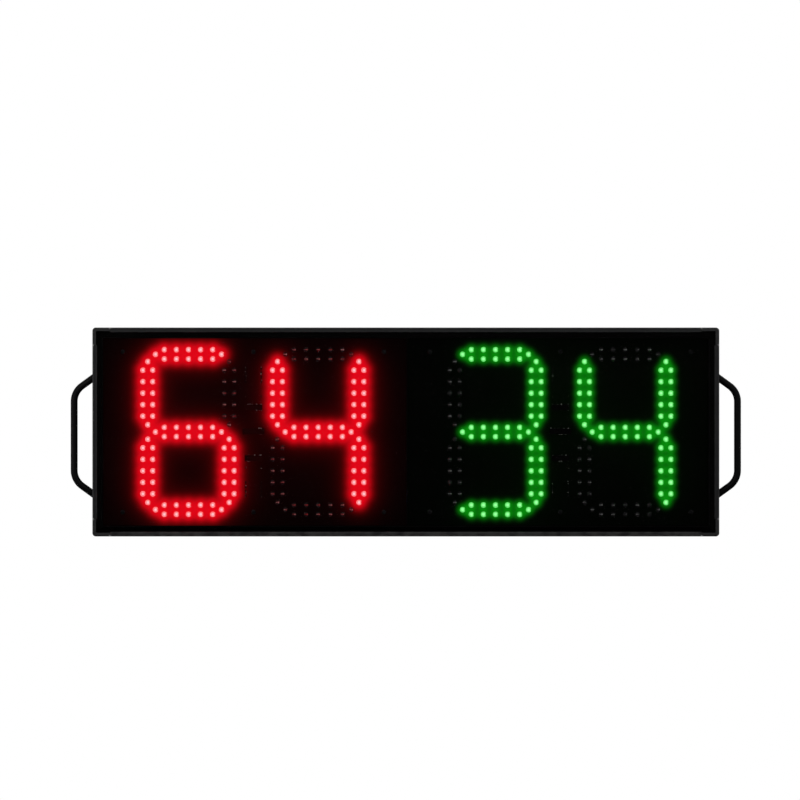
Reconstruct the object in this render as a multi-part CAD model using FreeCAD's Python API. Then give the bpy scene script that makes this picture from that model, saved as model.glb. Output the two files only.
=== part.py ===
"""Hand-held LED player-change board: two red digits and two green digits in a slim aluminium case.

Millimetres. +X is to the right of someone reading the digits, +Z is up, and the window faces -Y.
The origin is the middle of the case's underside, at half its depth.
"""

import FreeCAD
import Part
import math
import os

V = FreeCAD.Vector
X_AXIS, Y_AXIS, Z_AXIS = V(1, 0, 0), V(0, 1, 0), V(0, 0, 1)

# ---- Case: overall size, and the section of its extruded rails -------------------------------
CASE_W, CASE_H, CASE_D = 720.0, 240.0, 40.0
FRONT, BACK = -CASE_D / 2, CASE_D / 2
SIDE = CASE_W / 2
MID_Z = CASE_H / 2
LIP = 5.3  # height of the rails' front lip, which frames the window
CORNER_LIP = 4.2  # the corner pieces' lip is a little lower
LIP_GROOVE = 2.7  # from the outer face to the fine groove along the lip
WALL = 1.6
SLOT_T = 2.0  # depth at which the window's slot ends
RAIL_T = 11.4  # inward thickness of a rail's closed chamber
LIP_BACK = FRONT + WALL
SLOT_BACK = LIP_BACK + 4.2
CHAMBER_FRONT = SLOT_BACK + 1.4
COVER_SEAT = BACK - 1.8
CHAMBER_BACK = COVER_SEAT - 2.4
FRONT_ROUND, BACK_ROUND = 1.5, 0.8
CORNER_LEG = 20.0
CORNER_ROUND = 4.0
PLUG_REACH = 24.0
PLUG_GAP = 0.15
JOINT_GAP = 0.25  # between a rail's cut end and its corner piece

# ---- Window, gasket and back cover -----------------------------------------------------------
WINDOW_T = 3.0
WINDOW_EDGE = 2.3
WINDOW_BACK = LIP_BACK + WINDOW_T
GASKET_OUTER, GASKET_INNER = 2.6, 11.0
COVER_T = 1.5
COVER_EDGE = 1.8
COVER_FACE = COVER_SEAT + COVER_T
COVER_SCREW_EDGE = 6.6
COVER_SCREW_XS = (-300.0, -150.0, 0.0, 150.0, 300.0)

# ---- M3 screws -------------------------------------------------------------------------------
M3_SHANK, M3_HOLE, M3_CLEAR = 1.45, 1.5, 1.7
CSK_HEAD_R, CSK_DEPTH = 2.9, 1.45
PAN_HEAD_R, PAN_HEAD_H = 2.8, 1.9
RECESS_W, RECESS_L = 0.75, 3.2

# ---- Handles ---------------------------------------------------------------------------------
ROD_R = 4.0
GRIP_REACH = 20.9  # rod centreline to the rail's face
GRIP_MID_Z = 115.5
FOOT_SPACING = 132.0
LEG_ANGLE = 36.0  # of the sloping legs above the level
BEND_R = 22.0
STUD_R, STUD_LENGTH, STUD_ROOT = 2.45, 19.0, 2.5
STUD_HOLE_R = 2.65
WASHER_R, WASHER_T = 4.5, 1.0
NUT_AF, NUT_H = 8.0, 4.7

# ---- Digits and light-emitting diodes --------------------------------------------------------
DIGIT_PITCH = 149.0  # between the two digits of a pair
RED_MID, GREEN_MID = -175.0, 177.6  # middle of each pair of digits
COLUMN_X, ROW_Z = 46.75, 89.2  # segment centrelines from the digit's middle
ALONG_X, ALONG_Z = 13.9, 13.2  # LED pitch along level and upright segments
PAIR_DX, PAIR_DZ = 11.4, 10.7  # LED pitch across upright and level segments
END_X, END_Z = 37.9, 36.3  # single LED at each segment's tip
LED_R, LED_FLANGE_R, LED_FLANGE_H, LED_H = 2.5, 2.9, 1.0, 8.6
LEAD_SIDE, LEAD_PITCH = 0.5, 2.54
LED_STAND_OFF = 0.1
LED_TIP_GAP = 0.4  # to the window's inner face

BOARD_T = 1.6
BOARD_GAP, BOARD_EDGE = 0.4, 0.8  # between the boards, and from a board to the rails
BOARD_MEET = (RED_MID + GREEN_MID) / 2
BOARD_FRONT = WINDOW_BACK + LED_TIP_GAP + LED_H + LED_STAND_OFF
BOARD_BACK = BOARD_FRONT + BOARD_T
LEAD_HOLE_R = 0.6
LEAD_TAIL = 1.5
BOARD_FIXINGS = [(x, z) for x in (-150.0, 0.0, 150.0) for z in (-92.0, 92.0)]
STANDOFF_AF = 5.5
DRIVER_W, DRIVER_H, DRIVER_ROW = 6.4, 3.3, 3.81
DRIVER_LIFT = 0.5  # under the chip's body
DRIVER_PIN_W, DRIVER_LEAD_W, DRIVER_PIN_T = 1.2, 0.5, 0.3
DRIVERS = ((28.4, 16), (0.8, 20), (-30.0, 16))  # height from the board's middle, and pin count
RESISTOR, CAPACITOR = (1.6, 3.2, 0.6), (1.25, 2.0, 1.2)  # width, length and height
PASSIVE_X, CAPACITOR_RISE = 9.0, 41.0  # from the board's middle
RESISTOR_RISES = (58.0, 63.0, 68.0, 73.0)
CHIP_PITCH, CHIP_LIFT, CHIP_PIN = 1.27, 0.15, 0.2  # small surface-mount chips
SOCKET_HALF_X, SOCKET_HALF_Z = 3.2, 8.5

LIT_SEGMENTS = {
    "red_tens": "acdefg",
    "red_units": "bcfg",
    "green_tens": "abcdg",
    "green_units": "bcfg",
}
DIGIT_X = {
    "red_tens": RED_MID - DIGIT_PITCH / 2,
    "red_units": RED_MID + DIGIT_PITCH / 2,
    "green_tens": GREEN_MID - DIGIT_PITCH / 2,
    "green_units": GREEN_MID + DIGIT_PITCH / 2,
}
# Middle of each segment in units of (COLUMN_X, ROW_Z), and whether it is upright.
SEGMENTS = {
    "a": (0, 1, False),
    "b": (1, 0.5, True),
    "c": (1, -0.5, True),
    "d": (0, -1, False),
    "e": (-1, -0.5, True),
    "f": (-1, 0.5, True),
    "g": (0, 0, False),
}

# ---- Controls on the back --------------------------------------------------------------------
PANEL_Z = 124.0
OVERLAY_W, OVERLAY_H, OVERLAY_T, OVERLAY_ROUND = 206.0, 76.0, 0.4, 6.0
OVERLAY_FACE = COVER_FACE + OVERLAY_T
CONTROL_W, CONTROL_H, CONTROL_T = 214.0, 72.0, 1.6
CONTROL_FACE = 8.2
CONTROL_FIXINGS = [(x, z) for x in (-101.0, 101.0) for z in (-31.0, 31.0)]
RIBBON_Z, CONTROL_SOCKET_X = 104.0, 93.0
LEAD_R = 0.7
KEY_PLACES = {
    "key_green_units": (-72.0, 16.0),
    "key_green_tens": (-36.0, 16.0),
    "key_red_units": (36.0, 16.0),
    "key_red_tens": (72.0, 16.0),
    "key_swap": (36.0, -16.0),
    "key_brightness": (-36.0, -16.0),
}
KEY_R, KEY_HOLE_R, KEY_FLANGE_R, KEY_STEM_R = 6.0, 6.25, 7.4, 2.0
KEY_PROUD, KEY_DISH, KEY_TRAVEL = 3.2, 0.5, 1.5
STEM_IN, STEM_CLEAR = 1.3, 0.8  # the stem's length in its switch, and the room under it when pressed
SWITCH_SIDE, SWITCH_H, SWITCH_WELL_R = 8.5, 6.0, 2.2
LAMP_PLACE = (0.0, 16.0)
LAMP_R, LAMP_PROUD, LAMP_DOME_H, LAMP_FLANGE = 1.5, 0.9, 4.3, 1.0

ROCKER_X = 140.0
ROCKER_BODY = (12.8, 18.8)  # width and length of the body behind the cover
ROCKER_DEPTH, ROCKER_BLADE = 12.0, 4.5
ROCKER_BLADE_Z, ROCKER_BLADE_W, ROCKER_BLADE_T = 5.5, 4.8, 0.8
ROCKER_BEZEL = (15.0, 21.0, 2.0)
ROCKER_WELL = (11.4, 17.4)
ROCKER_KEY_W, ROCKER_KEY_R = 11.0, 8.5
ROCKER_VALLEY, ROCKER_UNDER = 2.2, 3.2  # the key's valley above its pivot, and its underside below
ROCKER_PIVOT_Y = 18.2
ROCKER_TILT = 10.0
TRUNNION_R = 1.2

JACK_X = -140.0
JACK_FLANGE_R, JACK_FLANGE_T = 5.5, 2.0
JACK_BARREL_R, JACK_BORE_R, JACK_BORE_DEPTH, JACK_PIN_R = 4.0, 2.85, 9.5, 1.05
JACK_PIN_SUNK = 3.2
JACK_BACK = 8.6
JACK_TAB_L = 5.0
JACK_NUT_AF, JACK_NUT_H = 11.0, 2.0
CAP_HINGE_RISE = 9.6
CAP_HINGE_Y = 21.4
CAP_R, CAP_T, CAP_STUB_R, CAP_STUB_L = 6.0, 1.6, 2.6, 2.5
CAP_KNUCKLE_R, CAP_STRAP_W, CAP_SEAT_GAP = 0.9, 5.0, 0.05
ANCHOR_FACE = CAP_HINGE_Y - 0.2
ANCHOR_STUD_RISE, ANCHOR_STUD_R, ANCHOR_BARB_R = 5.2, 1.2, 1.9  # rise is from the cap's hinge

# ---- Battery ---------------------------------------------------------------------------------
CELL_R, CELL_L, CELL_BUTTON_R, CELL_BUTTON_H = 9.2, 64.0, 3.2, 1.0
CELL_Z, CELL_Y = 46.0, 8.5
CELL_COUNT = 3
STRIP_T = 0.2
SLEEVE_R, SLEEVE_T = 9.5, 0.22
PROTECTION_L = 46.0
SADDLE_XS, SADDLE_HALF_W, SADDLE_WALL = (-62.0, 62.0), 6.0, 1.6
SADDLE_FOOT, SADDLE_FOOT_T, SADDLE_SCREW = 20.0, 2.2, 15.5  # half length, thickness, screw from its middle


# ---- Geometry helpers ------------------------------------------------------------------------
def box(x0, x1, y0, y1, z0, z1):
    return Part.makeBox(x1 - x0, y1 - y0, z1 - z0, V(x0, y0, z0))


def rod(radius, start, end):
    """A cylinder between two points."""
    return Part.makeCylinder(radius, (end - start).Length, start, end - start)


def rounded_wire(corners, place):
    """A closed outline. Each corner is (a, b) or (a, b, radius); place maps (a, b) to a point."""
    edges, ends = [], []
    count = len(corners)
    for i, corner in enumerate(corners):
        here = V(corner[0], corner[1], 0)
        before = V(*corners[i - 1][:2], 0) - here
        after = V(*corners[(i + 1) % count][:2], 0) - here
        radius = corner[2] if len(corner) > 2 else 0
        if not radius:
            ends.append((here, here, here))
            continue
        before.normalize()
        after.normalize()
        half = before.getAngle(after) / 2
        reach = radius / math.tan(half)
        middle = before + after
        middle.normalize()
        centre = here + middle * (radius / math.sin(half))
        ends.append((here + before * reach, centre - middle * radius, here + after * reach))
    for i, (start, middle, end) in enumerate(ends):
        if (end - start).Length > 1e-6:
            arc = Part.Arc(*[place(p.x, p.y) for p in (start, middle, end)])
            edges.append(arc.toShape())
        after = ends[(i + 1) % count][0]
        if (after - end).Length > 1e-6:
            edges.append(Part.LineSegment(place(end.x, end.y), place(after.x, after.y)).toShape())
    return Part.Wire(edges)


def rectangle(half_a, half_b, radius=0.0, a=0.0, b=0.0):
    return [
        (a - half_a, b - half_b, radius),
        (a + half_a, b - half_b, radius),
        (a + half_a, b + half_b, radius),
        (a - half_a, b + half_b, radius),
    ]


def plate(corners, y0, y1, holes=(), cutouts=()):
    """A plate across the case, in X and Z. holes are (x, z, radius) and cutouts are outlines."""
    def place(x, z):
        return V(x, y0, z)

    wires = [rounded_wire(corners, place)]
    wires += [Part.Wire(Part.Circle(V(x, y0, z), Y_AXIS, r).toShape()) for x, z, r in holes]
    wires += [rounded_wire(c, place) for c in cutouts]
    face = Part.makeFace(wires, "Part::FaceMakerBullseye")
    return face.extrude(V(0, y1 - y0, 0))


def turned(profile, x, z):
    """Turns a closed (radius, y) outline about the Y axis through (x, z)."""
    wire = rounded_wire(profile, lambda r, y: V(x + r, y, z))
    return Part.Face(wire).revolve(V(x, 0, z), Y_AXIS, 360)


def hexagon(across_flats, start, end):
    """A hexagonal bar between two points on a line along X or Y."""
    radius = across_flats / math.sqrt(3)
    along = end - start
    side = V(0, 0, 1)
    other = along.cross(side).normalize()
    points = [
        start + side * (radius * math.cos(math.radians(60 * k)))
        + other * (radius * math.sin(math.radians(60 * k)))
        for k in range(6)
    ]
    return Part.Face(Part.makePolygon(points + points[:1])).extrude(along)


def tube_path(points):
    """Straight runs joined by the largest arcs that the runs allow."""
    edges, here = [], points[0]
    for before, corner, after in zip(points, points[1:], points[2:]):
        into, out = corner - before, after - corner
        turn = into.getAngle(out)
        radius = 0.45 * min(into.Length, out.Length) / math.tan(turn / 2)
        reach = radius * math.tan(turn / 2)
        u, w = V(into).normalize(), V(out).normalize()
        start, end = corner - u * reach, corner + w * reach
        middle = (w - u).normalize()
        bulge = corner + middle * (radius / math.cos(turn / 2) - radius)
        edges += [Part.LineSegment(here, start).toShape(), Part.Arc(start, bulge, end).toShape()]
        here = end
    edges.append(Part.LineSegment(here, points[-1]).toShape())
    return Part.Wire(edges)


def wire_lead(points, radius):
    """A round lead along a path."""
    path = tube_path(points)
    ring = Part.Wire(Part.Circle(points[0], points[1] - points[0], radius).toShape())
    return path.makePipeShell([ring], True, False)


def save(name, *solids):
    shape = solids[0] if len(solids) == 1 else Part.makeCompound(list(solids))
    shape.exportStep(f"parts/{name}.step")
    print(f"{name}: {len(shape.Solids)} solids, {shape.Volume / 1000:.2f} cm3, valid {shape.isValid()}")


# ---- Screws ----------------------------------------------------------------------------------
def cross_recess(x, z, y, depth):
    """The cutter for a cross recess in a head whose top is at y."""
    arms = [
        box(x - a, x + a, y - depth, y + 1, z - b, z + b)
        for a, b in ((RECESS_W / 2, RECESS_L / 2), (RECESS_L / 2, RECESS_W / 2))
    ]
    return arms[0].fuse(arms[1])


def countersunk_screw(x, z, top, length):
    """A screw driven from behind, its flat head flush with top and its tip towards -Y."""
    profile = [
        (0, top),
        (CSK_HEAD_R, top),
        (M3_SHANK, top - CSK_DEPTH),
        (M3_SHANK, top - length + 0.6),
        (M3_SHANK - 0.6, top - length),
        (0, top - length),
    ]
    return turned(profile, x, z).cut(cross_recess(x, z, top, 1.0))


def pan_screw(x, z, seat, length, towards=1):
    """A pan-head screw whose head sits on seat; towards is +1 if it points to +Y."""
    head_top = seat - towards * PAN_HEAD_H
    profile = [
        (0, head_top),
        (PAN_HEAD_R, head_top, 1.1),
        (PAN_HEAD_R, seat),
        (M3_SHANK, seat),
        (M3_SHANK, seat + towards * length),
        (0, seat + towards * length),
    ]
    cutter = cross_recess(x, z, 0, 1.1)
    if towards > 0:
        cutter.rotate(V(x, 0, z), Z_AXIS, 180)
    cutter.translate(V(0, head_top, 0))
    return turned(profile, x, z).cut(cutter)


# ---- Case ------------------------------------------------------------------------------------
def section(front_round, back_round, lip):
    """The case's section as (distance in from the outer face, y)."""
    return [
        (0, FRONT, front_round),
        (lip, FRONT, 0.4),
        (lip, LIP_BACK),
        (SLOT_T, LIP_BACK),
        (SLOT_T, SLOT_BACK),
        (RAIL_T, SLOT_BACK),
        (RAIL_T, COVER_SEAT),
        (WALL, COVER_SEAT),
        (WALL, BACK),
        (0, BACK, back_round),
    ]


CHAMBER = [
    (WALL, CHAMBER_FRONT, 0.5),
    (RAIL_T - WALL, CHAMBER_FRONT, 0.5),
    (RAIL_T - WALL, CHAMBER_BACK, 0.5),
    (WALL, CHAMBER_BACK, 0.5),
]


def rail(place, along):
    """An extruded rail. place maps (distance in, y) to its start and along is its length."""
    outline = section(FRONT_ROUND, BACK_ROUND, LIP)
    groove = [(LIP_GROOVE - 0.3, FRONT), (LIP_GROOVE, FRONT + 0.35), (LIP_GROOVE + 0.3, FRONT)]
    wires = [rounded_wire(outline[:1] + groove + outline[1:], place), rounded_wire(CHAMBER, place)]
    return Part.makeFace(wires, "Part::FaceMakerBullseye").extrude(along)


def level_rail(edge_z, inward):
    start = -SIDE + CORNER_LEG + JOINT_GAP
    return rail(lambda t, y: V(start, y, edge_z + inward * t), V(-2 * start, 0, 0))


def upright_rail(side):
    start = CORNER_LEG + JOINT_GAP
    body = rail(lambda t, y: V(side * (SIDE - t), y, start), V(0, 0, CASE_H - 2 * start))
    for z in foot_heights():
        body = body.cut(rod(STUD_HOLE_R, V(side * SIDE, 0, z), V(side * (SIDE - RAIL_T), 0, z)))
    return body


def foot_heights():
    return GRIP_MID_Z - FOOT_SPACING / 2, GRIP_MID_Z + FOOT_SPACING / 2


def cover_screw_places():
    level = [(x, z) for x in COVER_SCREW_XS for z in (COVER_SCREW_EDGE, CASE_H - COVER_SCREW_EDGE)]
    return level + [(side * (SIDE - COVER_SCREW_EDGE), MID_Z) for side in (-1, 1)]


def drilled(body, places):
    """The body with screw holes through the chamber's back wall."""
    for x, z in places:
        body = body.cut(rod(M3_HOLE, V(x, CHAMBER_BACK - 0.5, z), V(x, COVER_SEAT + 0.5, z)))
    return body


def corner_piece(side, top):
    """A moulded corner: the rail's section turned through a right angle, with a plug each way."""
    def x_of(t):
        return side * (SIDE - t)

    def z_of(t):
        return CASE_H - t if top else t

    outline = section(0, 0, CORNER_LIP)
    level = Part.Face(rounded_wire(outline, lambda t, y: V(x_of(0), y, z_of(t))))
    upright = Part.Face(rounded_wire(outline, lambda t, y: V(x_of(t), y, z_of(0))))
    level = level.extrude(V(-side * CORNER_LEG, 0, 0))
    upright = upright.extrude(V(0, 0, -CORNER_LEG if top else CORNER_LEG))
    silhouette = plate(rectangle(SIDE, MID_Z, CORNER_ROUND, 0, MID_Z), FRONT, BACK)
    body = level.fuse(upright).common(silhouette).removeSplitter()
    body = Part.Solid(body.Solids[0])
    for y, radius in ((FRONT, FRONT_ROUND), (BACK, BACK_ROUND)):
        body = body.makeFillet(radius, [e for e in body.Edges if on_outline(e, y)])
    near, far = CORNER_LEG - 1, CORNER_LEG + PLUG_REACH
    t0, t1 = WALL + PLUG_GAP, RAIL_T - WALL - PLUG_GAP
    y0, y1 = CHAMBER_FRONT + PLUG_GAP, CHAMBER_BACK - PLUG_GAP
    for a, b in (((near, far), (t0, t1)), ((t0, t1), (near, far))):
        xs, zs = sorted(map(x_of, a)), sorted(map(z_of, b))
        plug = box(*xs, y0, y1, *zs)
        body = body.fuse(plug.makeFillet(0.7, plug.Edges))
    return body.removeSplitter()


def on_outline(edge, y):
    """True for an edge on the case's outer outline at depth y."""
    if any(abs(v.Point.y - y) > 1e-6 for v in edge.Vertexes):
        return False
    middle = edge.valueAt((edge.FirstParameter + edge.LastParameter) / 2)
    from_side, from_end = SIDE - abs(middle.x), min(middle.z, CASE_H - middle.z)
    return min(from_side, from_end) < 1e-6 or max(from_side, from_end) < CORNER_ROUND


def build_case():
    for name, body in (("rail_top", level_rail(CASE_H, -1)), ("rail_bottom", level_rail(0, 1))):
        z = CASE_H - COVER_SCREW_EDGE if name == "rail_top" else COVER_SCREW_EDGE
        save(name, drilled(body, [(x, z) for x in COVER_SCREW_XS]))
    for name, side in (("rail_left", -1), ("rail_right", 1)):
        save(name, drilled(upright_rail(side), [(side * (SIDE - COVER_SCREW_EDGE), MID_Z)]))
    for height, top in (("top", True), ("bottom", False)):
        for hand, side in (("left", -1), ("right", 1)):
            save(f"corner_{height}_{hand}", corner_piece(side, top))

    half_w, half_h = SIDE - WINDOW_EDGE, MID_Z - WINDOW_EDGE
    save("front_window", plate(rectangle(half_w, half_h, 2.0, 0, MID_Z), LIP_BACK, WINDOW_BACK))
    inner = rectangle(SIDE - GASKET_INNER, MID_Z - GASKET_INNER, 3.0, 0, MID_Z)
    outer = rectangle(SIDE - GASKET_OUTER, MID_Z - GASKET_OUTER, 2.0, 0, MID_Z)
    save("window_gasket", plate(outer, WINDOW_BACK, SLOT_BACK, cutouts=[inner]))
    save("back_cover", back_cover())
    screws = [countersunk_screw(x, z, COVER_FACE, 8.0) for x, z in cover_screw_places()]
    save("cover_screws", *screws)


def back_cover():
    holes = [(x, PANEL_Z + z, KEY_HOLE_R) for x, z in KEY_PLACES.values()]
    holes.append((LAMP_PLACE[0], PANEL_Z + LAMP_PLACE[1], LAMP_R + 0.15))
    holes.append((JACK_X, PANEL_Z, JACK_BARREL_R + 0.1))
    holes.append((JACK_X, PANEL_Z + CAP_HINGE_RISE + ANCHOR_STUD_RISE, ANCHOR_STUD_R + 0.1))
    cutout = rectangle(ROCKER_BODY[0] / 2 + 0.2, ROCKER_BODY[1] / 2 + 0.2, 0, ROCKER_X, PANEL_Z)
    outline = rectangle(SIDE - COVER_EDGE, MID_Z - COVER_EDGE, 2.5, 0, MID_Z)
    body = plate(outline, COVER_SEAT, COVER_FACE, holes, [cutout])
    for x, z in cover_screw_places():
        sink = turned(
            [
                (0, COVER_SEAT - 1),
                (M3_CLEAR, COVER_SEAT - 1),
                (M3_CLEAR, COVER_FACE - CSK_DEPTH + 0.15),
                (CSK_HEAD_R + 0.1, COVER_FACE + 0.001),
                (0, COVER_FACE + 0.001),
            ],
            x,
            z,
        )
        body = body.cut(sink)
    return body


# ---- Handles ---------------------------------------------------------------------------------
def handle(side):
    """A bent round bar whose sloping legs are cut flush with the rail, with a welded stud in each."""
    slope = math.tan(math.radians(LEG_ANGLE))
    foot = FOOT_SPACING / 2
    knee = foot - GRIP_REACH * slope
    past = 12.0  # the legs run on into the rail before they are trimmed

    def at(reach, rise):
        return V(side * (SIDE + reach), 0, GRIP_MID_Z + rise)

    outline = [
        at(-past, -foot - past * slope),
        at(GRIP_REACH, -knee),
        at(GRIP_REACH, knee),
        at(-past, foot + past * slope),
    ]
    path = bent_path(outline, BEND_R)
    ring = Part.Wire(Part.Circle(outline[0], outline[1] - outline[0], ROD_R).toShape())
    bar = path.makePipeShell([ring], True, False)
    inside = sorted((side * SIDE, side * (SIDE - 40)))
    bar = bar.cut(box(*inside, -10, 10, 0, CASE_H))
    for z in foot_heights():
        bar = bar.fuse(rod(STUD_R, V(side * (SIDE - STUD_LENGTH), 0, z), V(side * (SIDE + STUD_ROOT), 0, z)))
    return bar.removeSplitter()


def bent_path(points, radius):
    """Straight runs joined by arcs of one radius."""
    edges, here = [], points[0]
    for before, corner, after in zip(points, points[1:], points[2:]):
        u, w = (corner - before).normalize(), (after - corner).normalize()
        half = u.getAngle(w) / 2
        start = corner - u * (radius * math.tan(half))
        end = corner + w * (radius * math.tan(half))
        bulge = corner + (w - u).normalize() * (radius / math.cos(half) - radius)
        edges += [Part.LineSegment(here, start).toShape(), Part.Arc(start, bulge, end).toShape()]
        here = end
    edges.append(Part.LineSegment(here, points[-1]).toShape())
    return Part.Wire(edges)


def build_handles():
    nuts, washers = [], []
    for name, side in (("handle_left", -1), ("handle_right", 1)):
        save(name, handle(side))
        for z in foot_heights():
            faces = [SIDE - RAIL_T, SIDE - RAIL_T - WASHER_T, SIDE - RAIL_T - WASHER_T - NUT_H]
            rail_face, washer_face, nut_face = [V(side * x, 0, z) for x in faces]
            bore = rod(STUD_R + 0.05, nut_face, rail_face)
            washers.append(rod(WASHER_R, rail_face, washer_face).cut(bore))
            nuts.append(hexagon(NUT_AF, washer_face, nut_face).cut(bore))
    save("handle_washers", *washers)
    save("handle_nuts", *nuts)


# ---- Display ---------------------------------------------------------------------------------
def segment_leds(segment):
    """The twelve LED places of a segment, from the digit's middle."""
    column, row, upright = SEGMENTS[segment]
    x, z = column * COLUMN_X, row * ROW_Z
    if upright:
        grid = [(x + s * PAIR_DX / 2, z + k * ALONG_Z) for k in range(-2, 3) for s in (-1, 1)]
        return grid + [(x, z - END_Z), (x, z + END_Z)]
    grid = [(x + k * ALONG_X, z + s * PAIR_DZ / 2) for k in range(-2, 3) for s in (-1, 1)]
    return grid + [(x - END_X, z), (x + END_X, z)]


def led_template():
    """A round 5 mm LED at the origin of X and Z, with its flange's flat side and two leads."""
    base = BOARD_FRONT - LED_STAND_OFF
    tip = base - LED_H
    profile = [
        (0, base),
        (LED_FLANGE_R, base),
        (LED_FLANGE_R, base - LED_FLANGE_H),
        (LED_R, base - LED_FLANGE_H),
        (LED_R, tip, LED_R - 0.01),
        (0, tip),
    ]
    body = turned(profile, 0, 0).cut(box(LED_R, LED_R + 1, base - LED_FLANGE_H, base, -3, 3))
    for side in (-1, 1):
        x = side * LEAD_PITCH / 2
        half = LEAD_SIDE / 2
        body = body.fuse(box(x - half, x + half, base - 0.5, BOARD_BACK + LEAD_TAIL, -half, half))
    return body.removeSplitter()


def display_board(mid_x, digits):
    """A board from the case's middle to its rails, drilled for LEDs, drivers and screws."""
    holes = [(mid_x + x, MID_Z + z, M3_CLEAR) for x, z in BOARD_FIXINGS]
    for digit in digits:
        for segment in SEGMENTS:
            for x, z in segment_leds(segment):
                for side in (-1, 1):
                    lead_x = DIGIT_X[digit] + x + side * LEAD_PITCH / 2
                    holes.append((lead_x, MID_Z + z, LEAD_HOLE_R))
    for z, pins in DRIVERS:
        holes += [(mid_x + x, MID_Z + z + row, LEAD_HOLE_R) for x, row in pin_places(pins)]
    side = math.copysign(1, mid_x)
    outer = side * (SIDE - RAIL_T - BOARD_EDGE)
    inner = BOARD_MEET + side * BOARD_GAP / 2
    half_h = MID_Z - RAIL_T - BOARD_EDGE
    outline = rectangle(abs(outer - inner) / 2, half_h, 0.5, (outer + inner) / 2, MID_Z)
    return plate(outline, BOARD_FRONT, BOARD_BACK, holes)


def placed(template, x, z, y=0.0):
    copy = template.copy()
    copy.translate(V(x, y, z))
    return copy


def build_leds():
    template = led_template()
    for digit, x in DIGIT_X.items():
        for state, segments in (
            ("lit", LIT_SEGMENTS[digit]),
            ("dark", [s for s in SEGMENTS if s not in LIT_SEGMENTS[digit]]),
        ):
            places = [p for s in segments for p in segment_leds(s)]
            save(f"leds_{digit}_{state}", *[placed(template, x + a, MID_Z + b) for a, b in places])


def small_outline_chip(half_x, half_z, height, pins, y):
    """A gull-wing chip on a board whose face is at y, rising towards +Y."""
    body = box(-half_x, half_x, 0, height - CHIP_LIFT, -half_z, half_z)
    body = body.makeChamfer(0.25, [e for e in body.Edges if abs(e.CenterOfMass.y) > 1e-6])
    body.translate(V(0, CHIP_LIFT, 0))
    bend, toe = half_x + 0.7, half_x + 1.4
    shoulder = height / 2
    for k in range(pins):
        z = (k - (pins - 1) / 2) * CHIP_PITCH
        across = z - CHIP_PIN, z + CHIP_PIN
        for side in (-1, 1):
            level = sorted((side * (half_x - 0.1), side * bend))
            foot = sorted((side * (bend - CHIP_PIN), side * toe))
            post = sorted((side * (bend - CHIP_PIN), side * bend))
            body = body.fuse(box(*level, shoulder, shoulder + CHIP_PIN, *across))
            body = body.fuse(box(*foot, 0, CHIP_PIN, *across))
            body = body.fuse(box(*post, 0, shoulder + CHIP_PIN, *across))
    return placed(body.removeSplitter(), 0, 0, y)


def driver_chip(pins):
    """A dual in-line chip on the front of a display board, its two pin rows running along X."""
    length = pins / 2 * LEAD_PITCH
    back = BOARD_FRONT - DRIVER_LIFT
    front = back - DRIVER_H
    body = box(-length / 2, length / 2, front, back, -DRIVER_W / 2, DRIVER_W / 2)
    body = body.makeChamfer(0.35, [e for e in body.Edges if e.CenterOfMass.y < front + 0.01])
    notch = rod(1.0, V(-length / 2, front - 1, 0), V(-length / 2, front + 0.4, 0))
    body = body.cut(notch)
    shoulder = front + DRIVER_H / 2
    wide, narrow = DRIVER_PIN_W / 2, DRIVER_LEAD_W / 2
    for x, z in pin_places(pins):
        out = math.copysign(1, z)
        level = sorted((out * (DRIVER_W / 2 - 0.3), z + out * DRIVER_PIN_T / 2))
        drop = z - DRIVER_PIN_T / 2, z + DRIVER_PIN_T / 2
        body = body.fuse(box(x - wide, x + wide, shoulder, shoulder + DRIVER_PIN_T, *level))
        body = body.fuse(box(x - wide, x + wide, shoulder, BOARD_FRONT - 0.4, *drop))
        body = body.fuse(box(x - narrow, x + narrow, shoulder, BOARD_BACK + LEAD_TAIL, *drop))
    return body.removeSplitter()


def pin_places(pins):
    """The pins of a dual in-line chip, from its middle."""
    half = pins // 2
    xs = [(k - (half - 1) / 2) * LEAD_PITCH for k in range(half)]
    return [(x, side * DRIVER_ROW) for x in xs for side in (-1, 1)]


def surface_part(width, length, height):
    """A chip resistor or capacitor standing upright on the front of a display board."""
    return box(-width / 2, width / 2, BOARD_FRONT - height, BOARD_FRONT, -length / 2, length / 2)


def build_display():
    boards = {
        "display_board_red": (RED_MID, ("red_tens", "red_units")),
        "display_board_green": (GREEN_MID, ("green_tens", "green_units")),
    }
    resistor, capacitor = surface_part(*RESISTOR), surface_part(*CAPACITOR)
    drivers, passives, standoffs, screws, sockets = [], [], [], [], []
    for name, (mid_x, digits) in boards.items():
        save(name, display_board(mid_x, digits))
        for z, pins in DRIVERS:
            drivers.append(placed(driver_chip(pins), mid_x, MID_Z + z))
        for x in (mid_x - PASSIVE_X, mid_x + PASSIVE_X):
            for up in (-1, 1):
                passives.append(placed(capacitor, x, MID_Z + up * CAPACITOR_RISE))
                passives += [placed(resistor, x, MID_Z + up * rise) for rise in RESISTOR_RISES]
        for x, z in BOARD_FIXINGS:
            seat, foot = V(mid_x + x, BOARD_BACK, MID_Z + z), V(mid_x + x, COVER_SEAT, MID_Z + z)
            thread = rod(M3_HOLE, seat, seat + Y_AXIS * 10)
            standoffs.append(hexagon(STANDOFF_AF, seat, foot).cut(thread))
            screws.append(pan_screw(seat.x, seat.z, BOARD_FRONT, 8.0))
        sockets.append(socket(mid_x, BOARD_BACK, 8.0))
    build_leds()
    save("driver_chips", *drivers)
    save("board_passives", *passives)
    return standoffs, screws, sockets


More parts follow.
